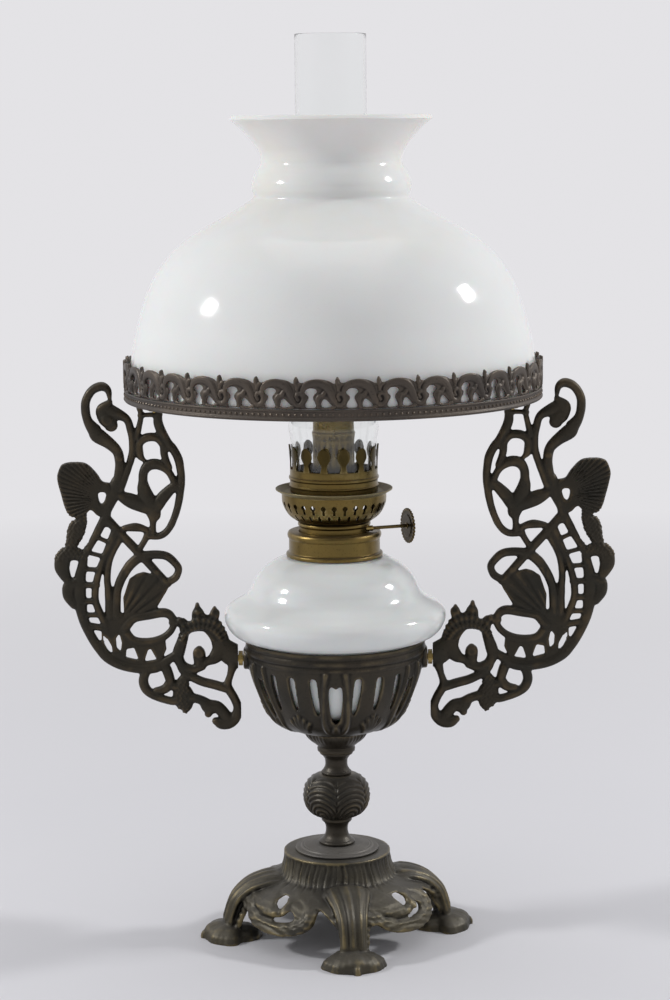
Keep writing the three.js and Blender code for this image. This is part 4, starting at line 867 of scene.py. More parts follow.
ARM_START, ARM_REACH, ARM_ROOT, ARM_HEIGHT, STRAND = 52.5, 54.0, 165.5, 153.0, 5.2
ARM_STRANDS = {
    "top_hook": [(1.345, 0.995, 0.4), (1.36, 1.03, 0.8), (1.43, 1.045, 1.05), (1.53, 1.03, 1), (1.6, 0.99, 1),
        (1.61, 0.95, 1.05), (1.59, 0.914, 1.1), (1.53, 0.88, 1.6)],
    "top_ball": [(1.35, 0.985, 0.7), (1.42, 0.955, 1.7), (1.38, 0.925, 2.2), (1.35, 0.9, 1.6)],
    "outer_stem": [(1.52, 0.882, 1.4), (1.5, 0.862, 1.8), (1.38, 0.83, 1.4), (1.3, 0.8, 1.2), (1.28, 0.765, 1.1),
        (1.285, 0.73, 1.1), (1.33, 0.666, 1)],
    "inner_stem": [(1.36, 0.95, 1.9), (1.19, 0.925, 1), (1.143, 0.88, 0.9), (1.13, 0.83, 0.85),
        (1.146, 0.783, 0.85), (1.2, 0.73, 0.85), (1.3, 0.655, 1.1)],
    "spine": [(1.32, 0.68, 1.5), (1.37, 0.635, 1.5), (1.45, 0.57, 1.05), (1.46, 0.53, 1.2)],
    "fork_tip": [(1.035, 0.982, 0.35), (1.04, 0.965, 0.65), (1.025, 0.928, 0.6), (1.088, 0.85, 0.8)],
    "fork_seat": [(1.04, 0.935, 0.5), (0.82, 0.938, 0.6)],
    "inner_edge": [(0.8, 0.994, 0.7), (0.83, 0.955, 0.85), (0.844, 0.902, 1.1), (0.765, 0.836, 1.05),
        (0.7, 0.805, 1), (0.65, 0.765, 1), (0.632, 0.702, 0.9), (0.646, 0.656, 0.9), (0.678, 0.599, 0.85),
        (0.73, 0.545, 0.8), (0.8, 0.5, 0.8), (0.9, 0.475, 0.8), (1.04, 0.475, 0.75)],
    "upper_arch": [(1.02, 0.765, 0.5), (1.06, 0.785, 0.95), (1.063, 0.827, 0.95), (0.98, 0.85, 1), (0.86, 0.848, 1),
        (0.78, 0.81, 1)],
    "upper_link": [(0.803, 0.823, 0.9), (0.797, 0.78, 0.85), (0.757, 0.735, 0.8)],
    "lower_arch": [(1.045, 0.68, 1.05), (1.03, 0.72, 1.05), (0.966, 0.746, 1.25), (0.86, 0.747, 1.2),
        (0.757, 0.717, 0.85), (0.68, 0.655, 0.9)],
    "leaf_middle": [(1.045, 0.69, 1), (1.03, 0.64, 1.7), (0.97, 0.59, 1.9)],
    "leaf_left": [(1.331, 0.64, 0.7), (1.257, 0.623, 1.4), (1.152, 0.606, 1.8), (0.953, 0.578, 1.6)],
    "leaf_right": [(0.69, 0.67, 1), (0.8, 0.638, 1.3), (0.953, 0.575, 1.6)],
    "leaf_stem": [(0.95, 0.585, 1.6), (0.95, 0.553, 1.6), (0.962, 0.528, 0.8), (0.971, 0.485, 0.8)],
    "middle_hook": [(1.275, 0.505, 0.7), (1.16, 0.509, 1), (1.071, 0.503, 0.85), (1.022, 0.486, 0.75),
        (1.11, 0.43, 0.7)],
    "diagonal": [(1.436, 0.534, 1.1), (1.273, 0.468, 1.05), (1.088, 0.395, 1), (0.901, 0.321, 0.9),
        (0.82, 0.29, 0.8)],
    "loop": [(1.1, 0.4, 1), (0.949, 0.4035, 1), (0.83, 0.397, 0.95), (0.74, 0.37, 0.9), (0.705, 0.345, 0.85),
        (0.74, 0.315, 0.9), (0.83, 0.295, 0.9)],
    "first_strand": [(1.1, 0.4, 1.2), (1.21, 0.369, 1.15), (1.283, 0.335, 1.1), (1.34, 0.297, 1.05),
        (1.375, 0.25, 1), (1.39, 0.17, 1.2)],
    "second_strand": [(1.33, 0.47, 1), (1.419, 0.408, 0.8), (1.46, 0.36, 0.8), (1.472, 0.31, 0.8),
        (1.462, 0.256, 0.9), (1.45, 0.17, 1.1)],
    "inner_rail": [(1.37, 0.49, 1.1), (1.437, 0.439, 1), (1.494, 0.4, 0.75), (1.555, 0.345, 0.8), (1.6, 0.28, 0.85),
        (1.605, 0.23, 0.85), (1.56, 0.18, 0.85), (1.49, 0.13, 1)],
    "outer_rail": [(1.47, 0.55, 1), (1.559, 0.493, 0.95), (1.636, 0.447, 0.85), (1.706, 0.406, 0.9),
        (1.735, 0.365, 1.1), (1.76, 0.325, 1.3), (1.775, 0.28, 1.5), (1.77, 0.227, 1.5), (1.74, 0.16, 1.2),
        (1.66, 0.09, 1.1), (1.56, 0.035, 1.15)],
    "rung_1": [(1.593, 0.476, 0.5), (1.436, 0.45, 0.5)],
    "rung_2": [(1.674, 0.413, 0.5), (1.495, 0.397, 0.5)],
    "rung_3": [(1.72, 0.35, 0.55), (1.543, 0.346, 0.55)],
    "rung_4": [(1.74, 0.289, 0.7), (1.581, 0.287, 0.7)],
    "rung_5": [(1.74, 0.226, 0.75), (1.598, 0.226, 0.75)],
    "rung_6": [(1.7, 0.173, 0.6), (1.562, 0.172, 0.6)],
    "rung_7": [(1.67, 0.13, 0.8), (1.5, 0.12, 0.8)],
    "upper_knot": [(1.72, 0.56, 1.2), (1.73, 0.53, 1.4), (1.78, 0.505, 2.1), (1.85, 0.445, 1.4)],
    "lower_knot": [(1.73, 0.4, 1.3), (1.84, 0.412, 1.7), (1.93, 0.4, 1.8), (1.955, 0.362, 1.8), (1.93, 0.33, 1.4),
        (1.89, 0.305, 1)],
    "knot_stem": [(1.8, 0.3, 1.3), (1.88, 0.285, 1.5), (1.89, 0.25, 1.4), (1.83, 0.215, 1.2)],
    "oval": [(1.3, 0.12, 1.2), (1.2, 0.158, 1.1), (1.04, 0.17, 1.1), (0.895, 0.179, 1.1), (0.81, 0.171, 1),
        (0.765, 0.142, 0.85), (0.8, 0.108, 0.8), (0.9, 0.08, 0.85), (1.05, 0.066, 0.95), (1.2, 0.072, 1),
        (1.28, 0.1, 1.1)],
    "sweep": [(1.6, 0.06, 1.1), (1.52, 0.02, 1.3), (1.4, -0.012, 1.25), (1.25, -0.03, 1.25), (1.05, -0.036, 1.3),
        (0.93, -0.026, 1.3), (0.76, 0.014, 0.9)],
    "link": [(0.78, 0.14, 0.9), (0.685, 0.141, 1.2), (0.64, 0.11, 1)],
    "outer_curl": [(0.65, 0.115, 1.1), (0.665, 0.085, 1.15), (0.715, 0.03, 1.4), (0.725, 0.005, 1.3),
        (0.68, -0.027, 1.15), (0.58, -0.042, 1.1), (0.47, -0.03, 1)],
    "inner_curl": [(0.66, 0.1, 1.1), (0.6, 0.12, 1.3), (0.49, 0.135, 1.8), (0.38, 0.132, 2.2), (0.29, 0.09, 2.1),
        (0.265, 0.04, 2), (0.332, 0.0034, 1.5), (0.4152, -0.0135, 0.95), (0.5, -0.03, 0.95)],
    "curl_eye": [(0.505, -0.03, 1), (0.498, 0.018, 1.5), (0.497, 0.035, 0.9)],
    "first_crest": [(0.5, 0.155, 1.5), (0.506, 0.187, 1.2), (0.508, 0.208, 0.5)],
    "second_crest": [(0.34, 0.14, 1.3), (0.322, 0.18, 1), (0.32, 0.194, 0.5)],
    "foot": [(0.27, 0.06, 1.8), (0.163, 0.02, 2.7), (0.07, 0.004, 2.5), (-0.02, 0, 2.4)],
    "under": [(0.13, -0.02, 1.3), (0.165, -0.065, 0.8), (0.1937, -0.11, 1), (0.12, -0.16, 1), (0.09, -0.195, 1.05),
        (0.12, -0.232, 1.3), (0.19, -0.249, 1.6), (0.27, -0.254, 1.4), (0.33, -0.245, 0.9)],
    "cross_bar": [(0.715, -0.01, 1), (0.66, -0.052, 1), (0.5, -0.086, 1.05), (0.35, -0.102, 1.1),
        (0.19, -0.119, 1.1)],
    "under_curl": [(0.2, -0.235, 1.4), (0.3, -0.193, 1.4), (0.4, -0.188, 1.7), (0.485, -0.163, 1.1),
        (0.63, -0.15, 1.2)],
    "under_lobe": [(0.385, -0.19, 1.4), (0.41, -0.216, 0.9)],
    "under_leaf": [(0.655, -0.07, 1), (0.69, -0.105, 1.8), (0.675, -0.15, 2.5), (0.66, -0.19, 1.7),
        (0.66, -0.202, 0.8)],
    "low_loop": [(1.05, -0.03, 1.1), (1.095, -0.065, 1.1), (1.1036, -0.095, 1.15), (1.06, -0.126, 1.1),
        (0.95, -0.15, 0.95), (0.8, -0.165, 0.95), (0.7, -0.158, 1.1)],
    "low_eye": [(0.97, -0.124, 0.8), (0.877, -0.1177, 1.1), (0.817, -0.09, 1.1), (0.854, -0.04, 1.2)],
    "low_link": [(0.84, -0.1, 1), (0.72, -0.115, 1.1)],
}
SHELL = [(1.957, 0.7), (1.92, 0.742), (1.874, 0.755), (1.78, 0.76), (1.64, 0.754), (1.535, 0.717),
    (1.475, 0.685), (1.39, 0.67), (1.44, 0.57), (1.535, 0.553), (1.611, 0.577), (1.66, 0.566),
    (1.7, 0.545), (1.8, 0.548), (1.876, 0.57), (1.93, 0.644)]
SHELL_HOLE = [(1.53, 0.64), (1.45, 0.642), (1.46, 0.615), (1.51, 0.6)]
BIG_LEAF = [(1.304, 0.24), (1.235, 0.311), (1.157, 0.33), (1.082, 0.337), (0.976, 0.3275),
    (0.806, 0.292), (0.823, 0.271), (0.934, 0.205), (0.97, 0.18), (1.15, 0.172), (1.3, 0.15)]
APRON = [(1.5, 0.165), (1.47, 0.18), (1.32, 0.18), (1.27, 0.15), (1.29, 0.12), (1.27, 0.09),
    (1.2, 0.072), (1.05, 0.066), (0.9, 0.08), (0.862, 0.075), (0.85, 0.037), (0.9, 0.0),
    (1.011, -0.028), (1.25, -0.025), (1.4, -0.01), (1.548, 0.05), (1.5425, 0.124)]
APRON_HOLES = [
    [(1.43, 0.02), (1.47, 0.028), (1.54, 0.075), (1.535, 0.1), (1.49, 0.085), (1.44, 0.05)],
    [(1.355, 0.1), (1.33, 0.065), (1.345, 0.03), (1.385, 0.045), (1.395, 0.08)],
    [(1.29, 0.008), (1.28, 0.04), (1.2, 0.045), (1.15, -0.004)],
    [(1.09, -0.01), (1.05, 0.035), (1.02, 0.04), (0.955, -0.002)],
]

# How far in an arm may come at each height above the basket's rim, so that the font can be lifted out
ARM_CLEAR_HEIGHTS = np.array([BASKET_TOP, 181, 186, 191, 196, 400])
ARM_CLEAR = np.array([0, 59.4, 63.4, 66, 66, 66])
ARM_TIP, ARM_SEAT, RING_SIDE = 163.3, 318.2, 120.3
ARM_SPREAD = 3.2


def arm_place(rows):
    """Places on the arm as X and Z in millimetres."""
    rows = np.array(rows, float)
    return np.stack([ARM_START + rows[:, 0] * ARM_REACH, ARM_ROOT + rows[:, 1] * ARM_HEIGHT], 1)


def arm_strand(rows):
    """One strand of the arm, deeper where it is wider."""
    rows = flowing(rows, 6)
    half = np.maximum(rows[:, 2], 0.25) * STRAND / 2
    depth = np.clip(1.9 + 0.32 * half, 0, 2.8) * np.clip(half / 1.2, 0.5, 1)
    return oval(upright(*arm_place(rows).T), half, depth[:, None], np.array((0, 1.0, 0)))


def arm_relief(points, normals):
    """Flutes on the shell, teeth and a ring on the curl, veins on the big leaf and scales on the knots."""
    x, _, z = points.T
    reach, height = (x - ARM_START) / ARM_REACH, (z - ARM_ROOT) / ARM_HEIGHT
    face = ramp(np.abs(normals[:, 1]) * 1.6 - 0.4)

    def seen_from(*place):
        """The way to each point from a place on the arm, and how far it is."""
        centre = arm_place([place])[0]
        return np.arctan2(z - centre[1], x - centre[0]), np.hypot(x - centre[0], z - centre[1])

    fan, away = seen_from(1.42, 0.62)
    in_shell = (reach > 1.5) & (height > 0.55) & (height < 0.77)
    flutes = 0.45 * np.cos(fan * TURN / 0.1) * ramp(away / 14 - 0.2) * in_shell
    fan, away = seen_from(0.47, 0.04)
    crest = (reach < 0.72) & (reach > 0.2) & (height > 0.07) & (height < 0.22)
    teeth = 0.3 * np.cos(fan * 34) * crest * ramp((away - 10) / 4)
    ring = 0.4 * np.cos((away - 12.5) * TURN / 4.5) * crest * face
    fan, _ = seen_from(1.38, 0.13)
    in_leaf = (reach > 0.79) & (reach < 1.3) & (height > 0.185) & (height < 0.345)
    veins = 0.32 * in_leaf * face * np.cos(fan * TURN / 0.2)
    knots = ((reach > 1.66) & (height > 0.39) & (height < 0.57)) | ((reach > 0.6) & (reach < 0.75) & (height < -0.08))
    scales = 0.3 * knots * np.cos(x * TURN / 2.6 + np.sin(z * 1.4)) * np.cos(z * TURN / 3.2)
    return flutes * face + teeth + ring + veins + scales + 0.12 * ripple(points, 8, 21)


def make_arms():
    """One casting, held clear of the basket, the font's way and the ring, and used for both sides."""
    shapes = [arm_strand(rows) for rows in ARM_STRANDS.values()]
    shapes.append(slab([arm_place(flowing(line, 3, True)) for line in (SHELL, SHELL_HOLE)], 5.0, 1.1))
    shapes.append(slab([arm_place(BIG_LEAF)], 3.9, 1.0))
    shapes.append(slab([arm_place(line) for line in [APRON, *APRON_HOLES]], 3.9, 0.8))
    for reach, height, size in ((0.5, 0.022, 3.6), (1.385, 0.918, 4.2), (1.28, 0.772, 2.2)):
        x, z = arm_place([(reach, height)])[0]
        shapes.append(rod((x, -3.2, z), (x, 3.2, z), size, 24, size * 0.35))
    mesh = casting(shapes, ARM_GRAIN, arm_relief, rounds=12, reach=0.3)
    points, _ = read(mesh)
    x, y, z = points.T
    x = x + ARM_SPREAD * ramp((z - 235) / 85)
    below = np.where(z < 155, 55.4, 56.8)
    x = np.maximum(x, np.where(z > BASKET_TOP, np.interp(z, ARM_CLEAR_HEIGHTS, ARM_CLEAR), below))
    z = np.where(x > RING_SIDE, z, np.minimum(z, ARM_SEAT))
    x = np.where(z > ARM_SEAT, np.maximum(x, RING_SIDE), x)
    write(mesh, np.stack([np.minimum(x, ARM_TIP), y, z], 1))
    for side, turn in (("right", 0), ("left", math.pi)):
        copy = mesh.copy()
        copy.transform(Matrix.Rotation(turn, 4, "Z"))
        set_in_place("arm_cast_" + side, copy, "stand", ["arm_" + side], ARM_PATINA, sharp=60)


# ---------------------------------------------------------------- ring and crown

RING_REACH, RING_BEADS = 119.92, 224
CROWN_REPEATS = 34
CROWN_PITCH = TURN * 120 / CROWN_REPEATS
CROWN_FOOT, CROWN_RISE = 325.2, 15.65
CROWN_SUNK = 0.35
CROWN_START, CROWN_BEND, CROWN_OVERLAP = math.radians(0.706), 118.6, 1.012


def keep_within(mesh, radius, floor=0):
    """Holds a round piece inside a radius and above a height."""
    points, _ = read(mesh)
    points[:, :2] *= np.minimum(1, radius / np.maximum(np.hypot(points[:, 0], points[:, 1]), 1))[:, None]
    points[:, 2] = np.maximum(points[:, 2], floor)
    write(mesh, points)


def make_ring():
    """The band with its ledge, its row of beads and the two lugs that the arms' screws go into."""
    band = softened([(109.4, 318.5), (119.3, 318.5), (119.9, 319.2), (119.9, 319.9), (119.2, 320.6), (119.2, 323.4),
                     (119.7, 323.8), (119.7, 324.6), (119.3, 324.9), (118.4, 324.9), (118.4, 320.7),
                     (109.4, 320.7)], 0.35)
    bead = turned([(0, -0.85), (0.6, -0.6), (0.85, 0), (0.6, 0.6), (0, 0.85)], 8)
    beads = ring_of(RING_BEADS, lambda turn: spun(bead, turn, (119.05, 0, 322)))
    lugs = [box((low, -6, 318.5), (low + 13, 6, 320.9)) for low in (99, -112)]
    mesh = fine([turned(band, 360), *beads, *lugs], rounds=3)
    keep_within(mesh, RING_REACH)
    set_in_place("ring_cast", mesh, "stand", ["shade_ring"], RING_PATINA)


# The scrolls of one repeat of the crown: shares of its length and rise, and the half width in millimetres
CROWN_FLOWS = [[(0.2, 0.52, 1.3), (0.22, 0.68, 1.7), (0.31, 0.82, 2.1), (0.47, 0.89, 2.2), (0.63, 0.87, 2.2),
                (0.76, 0.76, 2.1), (0.85, 0.58, 1.9), (0.92, 0.36, 1.7), (1.0, 0.18, 1.4), (1.1, 0.12, 1.2),
                (1.19, 0.2, 1.2), (1.22, 0.36, 1.1), (1.17, 0.5, 1), (1.09, 0.52, 1), (1.04, 0.42, 0.9),
                (1.08, 0.3, 0.8)],
               [(0.57, 0.06, 1), (0.545, 0.28, 1.1), (0.585, 0.42, 1.2), (0.66, 0.46, 1.1), (0.71, 0.56, 1)],
               [(0.06, 0.74, 1.1), (0.03, 0.9, 1.1), (0.035, 1.02, 0.8)],
               [(0.18, 0.9, 0.9), (0.08, 0.76, 1), (0.06, 0.64, 0.9)],
               [(0.64, 0.02, 0.9), (0.8, 0.04, 0.9), (0.95, 0.06, 0.9)]]


def crown_place(rows):
    """Places on one repeat of the crown, laid out flat, as X and Z in millimetres."""
    rows = np.array(rows, float)
    return np.stack([rows[:, 0] * CROWN_PITCH, CROWN_FOOT + rows[:, 1] * CROWN_RISE], 1)


def crown_relief(points, normals):
    """Scrolls that run round the crown: an arch over each keyhole, its end curled before the next."""
    x, _, z = points.T
    proud = np.full(len(x), -CROWN_SUNK)
    for flow in CROWN_FLOWS:
        rows = flowing(flow, 8)
        for shift in (-CROWN_PITCH, 0, CROWN_PITCH):
            across = across_flow(x, z, crown_place(rows), rows[:, 2], shift)
            raised = 0.85 * np.sqrt(ramp(1 - across ** 2)) + 0.12 * np.cos(across * TURN * 1.5) - 0.3
            proud = np.maximum(proud, np.where(across < 1, raised, -CROWN_SUNK))
    return ramp(-normals[:, 1] * 1.4) * proud


def make_crown():
    """One repeat made flat, then bent round the ring and repeated."""
    top = [(0, 0.9), (0.0, 1.0), (0.022, 1.08), (0.05, 1.1), (0.075, 1.05), (0.1, 0.98), (0.12, 0.9), (0.19, 0.88),
           (0.29, 0.95), (0.42, 1.0), (0.56, 1.01), (0.7, 0.99), (0.81, 0.95), (0.88, 0.9), (0.94, 0.85), (1, 0.9)]
    edge = [(1, 0), (0, 0), *flowing(top, 3).tolist()]
    keyhole = flowing([(0.27, 0.05), (0.5, 0.05), (0.49, 0.2), (0.44, 0.35), (0.46, 0.47), (0.53, 0.57), (0.5, 0.67),
                       (0.38, 0.7), (0.27, 0.64), (0.24, 0.54), (0.33, 0.43), (0.33, 0.33), (0.27, 0.2)], 3, True)
    corner = flowing([(0.65, 0.06), (0.89, 0.07), (0.83, 0.2), (0.72, 0.34), (0.655, 0.26)], 3, True)
    strip = slab([crown_place(line) for line in (edge, keyhole, corner)], 1.5)
    points, normals, faces = taken(fused([strip], CROWN_GRAIN, 2))
    points += normals * crown_relief(points, normals)[:, None]
    middle = CROWN_PITCH / 2
    points[:, 0] = (points[:, 0] - middle) * CROWN_OVERLAP + middle
    repeat = wrapped((points * (1, -1, 1), faces), CROWN_BEND)
    repeats = ring_of(CROWN_REPEATS, lambda turn: spun(repeat, CROWN_START + turn))
    mesh = fine(repeats, rounds=6, reach=0.25)
    keep_within(mesh, RING_REACH, CROWN_FOOT)
    set_in_place("crown_cast", mesh, "stand", ["shade_crown"], RING_PATINA, sharp=60)


# ---------------------------------------------------------------- glass

def blown(name, outline, sides, body, nodes, finish):
    """A piece of glass, turned and set in its place."""
    mesh = fine([turned(outline, sides)], reach=0.3)
    set_in_place(name, mesh, body, nodes, finish, sharp=70)


def make_glass():
    """The dome, the font with its hidden lower half, and the chimney."""
    dome = flowing([(117.2, 321), (117.2, 324), (116.6, 330), (115.4, 341), (113.4, 353), (110.4, 364), (106.4, 377),
                    (100.4, 389.6), (92.6, 400), (83.4, 408.4), (73.4, 415), (63, 420.6), (53, 426.4), (46.5, 430.6),
                    (44.2, 433), (45.2, 437), (45.2, 441), (43.2, 446), (40.6, 450.4), (40, 453.6), (41.2, 458),
                    (44.4, 463), (49.2, 468.6), (53.8, 473), (57.8, 476.2)], 6)
    blown("opal_dome", softened(skin(dome, 2.8), 1.2, 3, 4), 256, "shade", ["shade_glass"], OPAL)
    below = flowing([(1, 134.2), (26, 134.2), (35.2, 137.4), (41.2, 144.5), (45.6, 155), (48.8, 168),
                     (49.3, 177.2)], 6)
    belly = flowing([(49.3, 178.2), (52.2, 178.6), (58, 180.6), (62, 184.4), (64.6, 191), (62.6, 195.8), (57, 199.6),
                     (51.4, 203.2), (48.6, 207.4), (46.6, 212), (43.4, 216.6), (37.6, 221.6), (31, 225), (26.6, 226),
                     (25.1, 227.4), (25.1, 233.4)], 6)
    font = np.concatenate([[(0, 134.2)], skin(np.concatenate([below, belly]), 3.0), [(0, 137.2)]])
    blown("opal_font", font, 256, "font", ["font_glass"], OPAL)
    foot = flowing([(24.1, 263.8), (24.2, 276), (24.2, 286), (25.0, 294), (25.85, 300), (25.6, 303.5), (23.6, 307),
                    (21.2, 310.4), (20.3, 315), (20.2, 330)], 6)
    chimney = np.concatenate([foot, [(20.2, z) for z in np.linspace(340, 523.3, 24)]])
    blown("clear_chimney", softened(skin(chimney, 1.4), 0.66, 4, 6), 192, "chimney", ["chimney_glass"], CLEAR)


# ---------------------------------------------------------------- burner

BOWL_KEYHOLES, PRONGS, KNOB_TEETH = 30, 14, 28
SHAFT_TURN = math.radians(21)
SHAFT_PLACE = (0, -13.2, 242.7)
SHAFT_RADIUS, TOOTH_REACH = 1.0, 9.25
WICK_OUTSIDE, WICK_INSIDE = 10.35, 8.95


def make_collar():
    """The brass collar cemented on the font."""
    outline = [(28, 226.3), (28, 227.9), (27.4, 228.5), (26.4, 229), (26.3, 236.4), (26.9, 237.2), (27.2, 238.2),
               (27.2, 239.2), (26.7, 240.3), (26, 240.7), (20.5, 240.7), (20.5, 229.5), (21.4, 229.5), (21.4, 239.8),
               (25.4, 239.8), (25.4, 226.3)]
    lathed("collar_brass", outline, 0.35, 192, "font", ["font_collar"], AGED_BRASS)


def prong(turn):
    """One spring finger of the chimney's holder."""
    _, height, half_width = flowing([(0, 276.4, 2.6), (0, 279, 1.75), (0, 281.4, 1.6), (0, 283, 2.6), (0, 285.2, 3.7),
                                     (0, 287.4, 3.6), (0, 289.4, 2.8), (0, 290.7, 1.5), (0, 291.1, 0.5)],
                                    3).T[:, :, None]
    across = np.linspace(-1, 1, 9)
    lean = 0.55 * ramp((height - 280) / 11) ** 1.5
    cupped = 0.25 * (1 - across ** 2) * ramp((height - 281) / 4)
    front, back = [round_about(25.25 + wall + lean + cupped, half_width * across / 25.2, height)
                   for wall in (0, -0.7)]
    return spun(sheet(front, back), turn)


def make_burner():
    """The neck, the pierced bowl, the plate, the pronged holder and the tube that guides the wick."""
    neck = [(20.2, 229.7), (20.2, 243.6), (20.9, 244.2), (21.1, 245), (20.9, 245.8), (20.2, 246.3), (12.6, 246.3),
            (12.6, 245.4), (19.2, 245.4), (19.2, 229.7)]
    lathed("neck_brass", neck, 0.3, 160, "burner", ["burner_base"], AGED_BRASS)
    line = flowing([(12.6, 246.9), (20.8, 247), (23.8, 248.4), (26.4, 250.6), (28.6, 254), (29.9, 257.6),
                    (30.2, 260.2), (30.2, 262.8)], 7)
    keyhole = slab([flowing([(-0.8, 253.6), (0.8, 253.6), (0.6, 255.8), (1.4, 256.9), (1.4, 258.1), (0, 259.1),
                             (-1.4, 258.1), (-1.4, 256.9), (-0.6, 255.8)], 2, True)], 9)
    drill = rod((0, -24, 249.6), (0, -31, 253.6), 0.85, 12, 0.05)
    cuts = []
    for turn in ring_of(BOWL_KEYHOLES, lambda turn: turn):
        cuts += [spun(keyhole, turn, (0, -29, 0)), spun(drill, turn + TURN / BOWL_KEYHOLES / 2)]
    bowl = pierced([turned(skin(line, 0.9), 240)], cuts)
    mesh = fine([bowl], rounds=2)
    set_in_place("bowl_brass", mesh, "burner", ["draught_bowl"], AGED_BRASS, sharp=35)
    plate = [(19, 262.5), (29.6, 262.5), (31.4, 263.6), (33.2, 264.7), (33.8, 265), (33.8, 265.7), (33.2, 265.8),
             (31, 264.5), (29, 263.4), (19, 263.4)]
    # The plate takes the lighter brass copy, its pale tones a painted reflection.
    lathed("plate_brass", plate, 0.25, 192, "burner", ["burner_plate"], SHEEN_PAINTED_BRASS)
    band = [(25.1, 263.7), (25.4, 264.2), (25.3, 266.8), (25.75, 267.2), (25.75, 267.9), (25.35, 268.3),
            (25.35, 270.9), (25.9, 271.4), (26, 272.1), (25.9, 272.8), (25.35, 273.3), (25.3, 277.3), (24.5, 277.3),
            (24.5, 263.7)]
    holder = fine([turned(softened(band, 0.25), 168), *ring_of(PRONGS, prong)], rounds=2)
    set_in_place("crown_brass", holder, "burner", ["chimney_crown"], SOOTY_BRASS, sharp=35)
    tube = [(12.3, 236.4), (12.05, 262), (11.95, 294), (12.4, 296.6), (12.5, 297.4), (12.4, 298.2), (11.85, 298.8),
            (11.7, 315.2), (10.9, 315.2), (11.4, 236.4)]
    lathed("wick_tube_brass", tube, 0.25, 128, "burner", ["wick_tube"], AGED_BRASS)


def on_shaft(shapes):
    """Shapes made along X, set beside the lamp's axis and turned with the wick shaft."""
    return [spun(shape, SHAFT_TURN, SHAFT_PLACE) for shape in shapes]


def make_knob():
    """The serrated disc with its hub, and the shaft that it turns."""
    face = [(0, 39.75), (6.4, 39.75), (6.8, 40.1), (9.0, 40.1), (9.4, 40.3), (9.4, 40.9), (9.0, 41.1), (6.8, 41.1),
            (6.4, 41.45), (0, 41.45)]
    points, faces = turned(softened(face, 0.15), 160)
    shapes = [(points[:, [2, 0, 1]], faces)]
    for angle in ring_of(KNOB_TEETH, lambda turn: turn):
        y, z = TOOTH_REACH * math.cos(angle), TOOTH_REACH * math.sin(angle)
        shapes.append(rod((40, y, z), (41.2, y, z), 1.0, 16, 0.2))
    shapes.append(rod((39.4, 0, 0), (42.5, 0, 0), 2.0, 32, 0.4))
    mesh = fine(on_shaft(shapes), rounds=3)
    set_in_place("knob_brass", mesh, "knob", ["wick_knob"], DARK_BRASS)
    shaft = rod((-13.4, 0, 0), (42.4, 0, 0), SHAFT_RADIUS, 32, 0.2)
    set_in_place("shaft_brass", fine(on_shaft([shaft])), "knob", ["wick_shaft"], DARK_BRASS)


def cloth(start, sweep, low, high, rows, columns):
    """A curved strip of knitted wick, from one angle and height to another."""
    height, angle = np.meshgrid(np.linspace(low, high, rows), start + np.linspace(0, sweep, columns), indexing="ij")
    knit = 0.07 * np.cos(height * TURN / 1.3) * np.cos(angle * 60)
    return sheet(round_about(WICK_OUTSIDE + knit, angle, height), round_about(WICK_INSIDE - knit, angle, height))


def make_wick():
    """A flat wick rolled round the middle tube, its seam to one side and its tail down in the oil."""
    seam, tail_span = math.radians(50), math.radians(120)
    rolled = cloth(SHAFT_TURN + TURN / 4 + seam / 2, TURN - seam, 236.4, 313.2, 160, 120)
    tail = cloth(SHAFT_TURN - TURN / 4 - tail_span / 2, tail_span, 148.4, 238, 160, 48)
    mesh = fine([rolled, tail], rounds=2)
    set_in_place("rolled_wick", mesh, "wick", ["wick"], COTTON, sharp=70)


for make in (make_foot, make_stem, make_basket, make_arms, make_ring, make_crown, make_glass, make_collar,
             make_burner, make_knob, make_wick):
    make()

for finish, nodes in ((STEEL, ("tie_rod", "tie_rod_washer", "tie_rod_base_nut", "tie_rod_top_nut")),
                      (AGED_BRASS, ("draught_tube",)),
                      (BRIGHT_BRASS, ("arm_foot_stud_right", "arm_foot_stud_left", "arm_top_screw_right",
                                      "arm_top_screw_left", "wick_wheel_front", "wick_wheel_rear", "shaft_gland"))):
    for node in nodes:
        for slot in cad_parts[node].material_slots:
            slot.material = finish


# ---------------------------------------------------------------- studio: floor, backdrop, lamps and camera, metres

BACKDROP = colour((227, 226, 229))
FLOOR_RADIUS = 9
FLOOR_FADES = (0.35, 1.6)
ROOM_LIGHT = 0.52
LAMP_AIM = Vector((0, 0, 0.28))
LAMPS = [("left_lamp", (-1.35, -0.2, 1.0), 0.18, 9.6), ("right_lamp", (1.3, 0.15, 1.05), 0.18, 9.6),
         ("top_lamp", (0.0, 0.3, 2.4), 1.6, 5)]
CAMERA_PLACE = (0, -1.427, 0.48)
CAMERA_TILT, CAMERA_ROLL = 0.1541, -0.0085


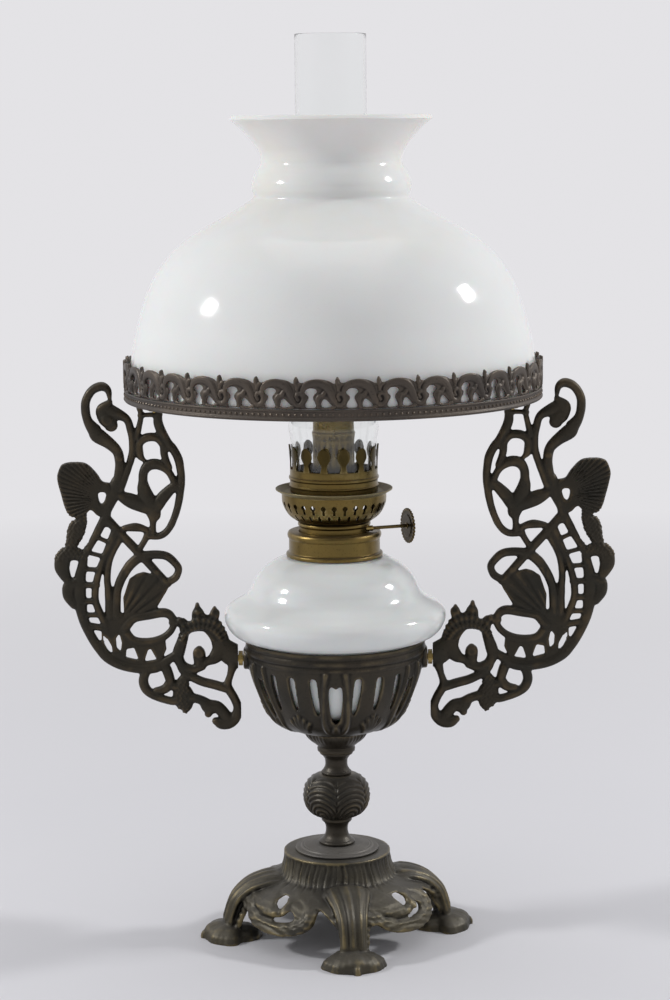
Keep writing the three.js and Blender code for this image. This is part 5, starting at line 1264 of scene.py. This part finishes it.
def make_world():
    """Pale where it is seen, dimmer in what mirrors the room ahead, and plain as light."""
    world = bpy.data.worlds.new("studio")
    bpy.context.scene.world = world
    world.use_nodes = True
    tree = world.node_tree
    tree.nodes.clear()
    rays = step(tree, "ShaderNodeLightPath").outputs
    seen = sums(tree, "MAXIMUM", rays["Is Camera Ray"], rays["Is Transmission Ray"])
    mirrored = sums(tree, "MAXIMUM", seen, rays["Is Glossy Ray"])
    plain = step(tree, "ShaderNodeBackground", {"Color": (1, 1, 1.02, 1), "Strength": ROOM_LIGHT})
    room = span(tree, part_of(tree, here(tree, "Generated"), "Y"), -0.95, -0.3, 0.4, 1.0)
    pale = step(tree, "ShaderNodeBackground", {"Color": BACKDROP, "Strength": sums(tree, "MAXIMUM", room, seen)})
    mixed = step(tree, "ShaderNodeMixShader", {0: mirrored, 1: plain.outputs[0], 2: pale.outputs[0]})
    step(tree, "ShaderNodeOutputWorld", {"Surface": mixed.outputs[0]})


def make_floor():
    """A round pale floor that fades into the backdrop."""
    finish = Finish("studio_floor")
    tree = finish.tree
    place = here(tree)
    away = step(tree, "ShaderNodeVectorMath", {0: place}, operation="LENGTH").outputs["Value"]
    paper = blend_of(tree, cloud(tree, place, 3.0), colour((212, 212, 216)), colour((216, 215, 219)))
    finish.feed("Base Color", paper)
    finish.set(Roughness=0.75, Specular_IOR_Level=0.15)
    glow = step(tree, "ShaderNodeEmission", {"Color": BACKDROP, "Strength": 1.0})
    cover = step(tree, "ShaderNodeMixShader", {0: span(tree, away, *FLOOR_FADES), 1: finish.shader.outputs[0],
                                               2: glow.outputs[0]})
    tree.links.new(cover.outputs[0], tree.nodes["Material Output"].inputs["Surface"])
    mesh = bpy.data.meshes.new("floor")
    work = bmesh.new()
    bmesh.ops.create_circle(work, cap_ends=True, radius=FLOOR_RADIUS, segments=96)
    work.to_mesh(mesh)
    work.free()
    mesh.materials.append(finish.material)
    floor = added("floor", mesh)


def make_lamps():
    """Two small lamps beside the model and a wide one above it."""
    for name, place, size, power in LAMPS:
        light = bpy.data.lights.new(name, "AREA")
        light.shape, light.size, light.energy = "SQUARE", size, power
        lamp = added(name, light)
        lamp.location = place
        lamp.rotation_euler = (LAMP_AIM - lamp.location).to_track_quat("-Z", "Y").to_euler()


def make_camera():
    """The view of the photograph."""
    data = bpy.data.cameras.new("camera")
    data.lens, data.sensor_width, data.shift_x = 90, 36, 0.0009
    data.clip_start, data.clip_end = 0.05, 50
    camera = added("camera", data)
    tilt = Matrix.Rotation(TURN / 4 - CAMERA_TILT, 4, "X") @ Matrix.Rotation(CAMERA_ROLL, 4, "Z")
    camera.matrix_world = Matrix.Translation(CAMERA_PLACE) @ tilt
    bpy.context.scene.camera = camera


make_world()
make_floor()
make_lamps()
make_camera()
bpy.context.scene.view_settings.view_transform = "Standard"
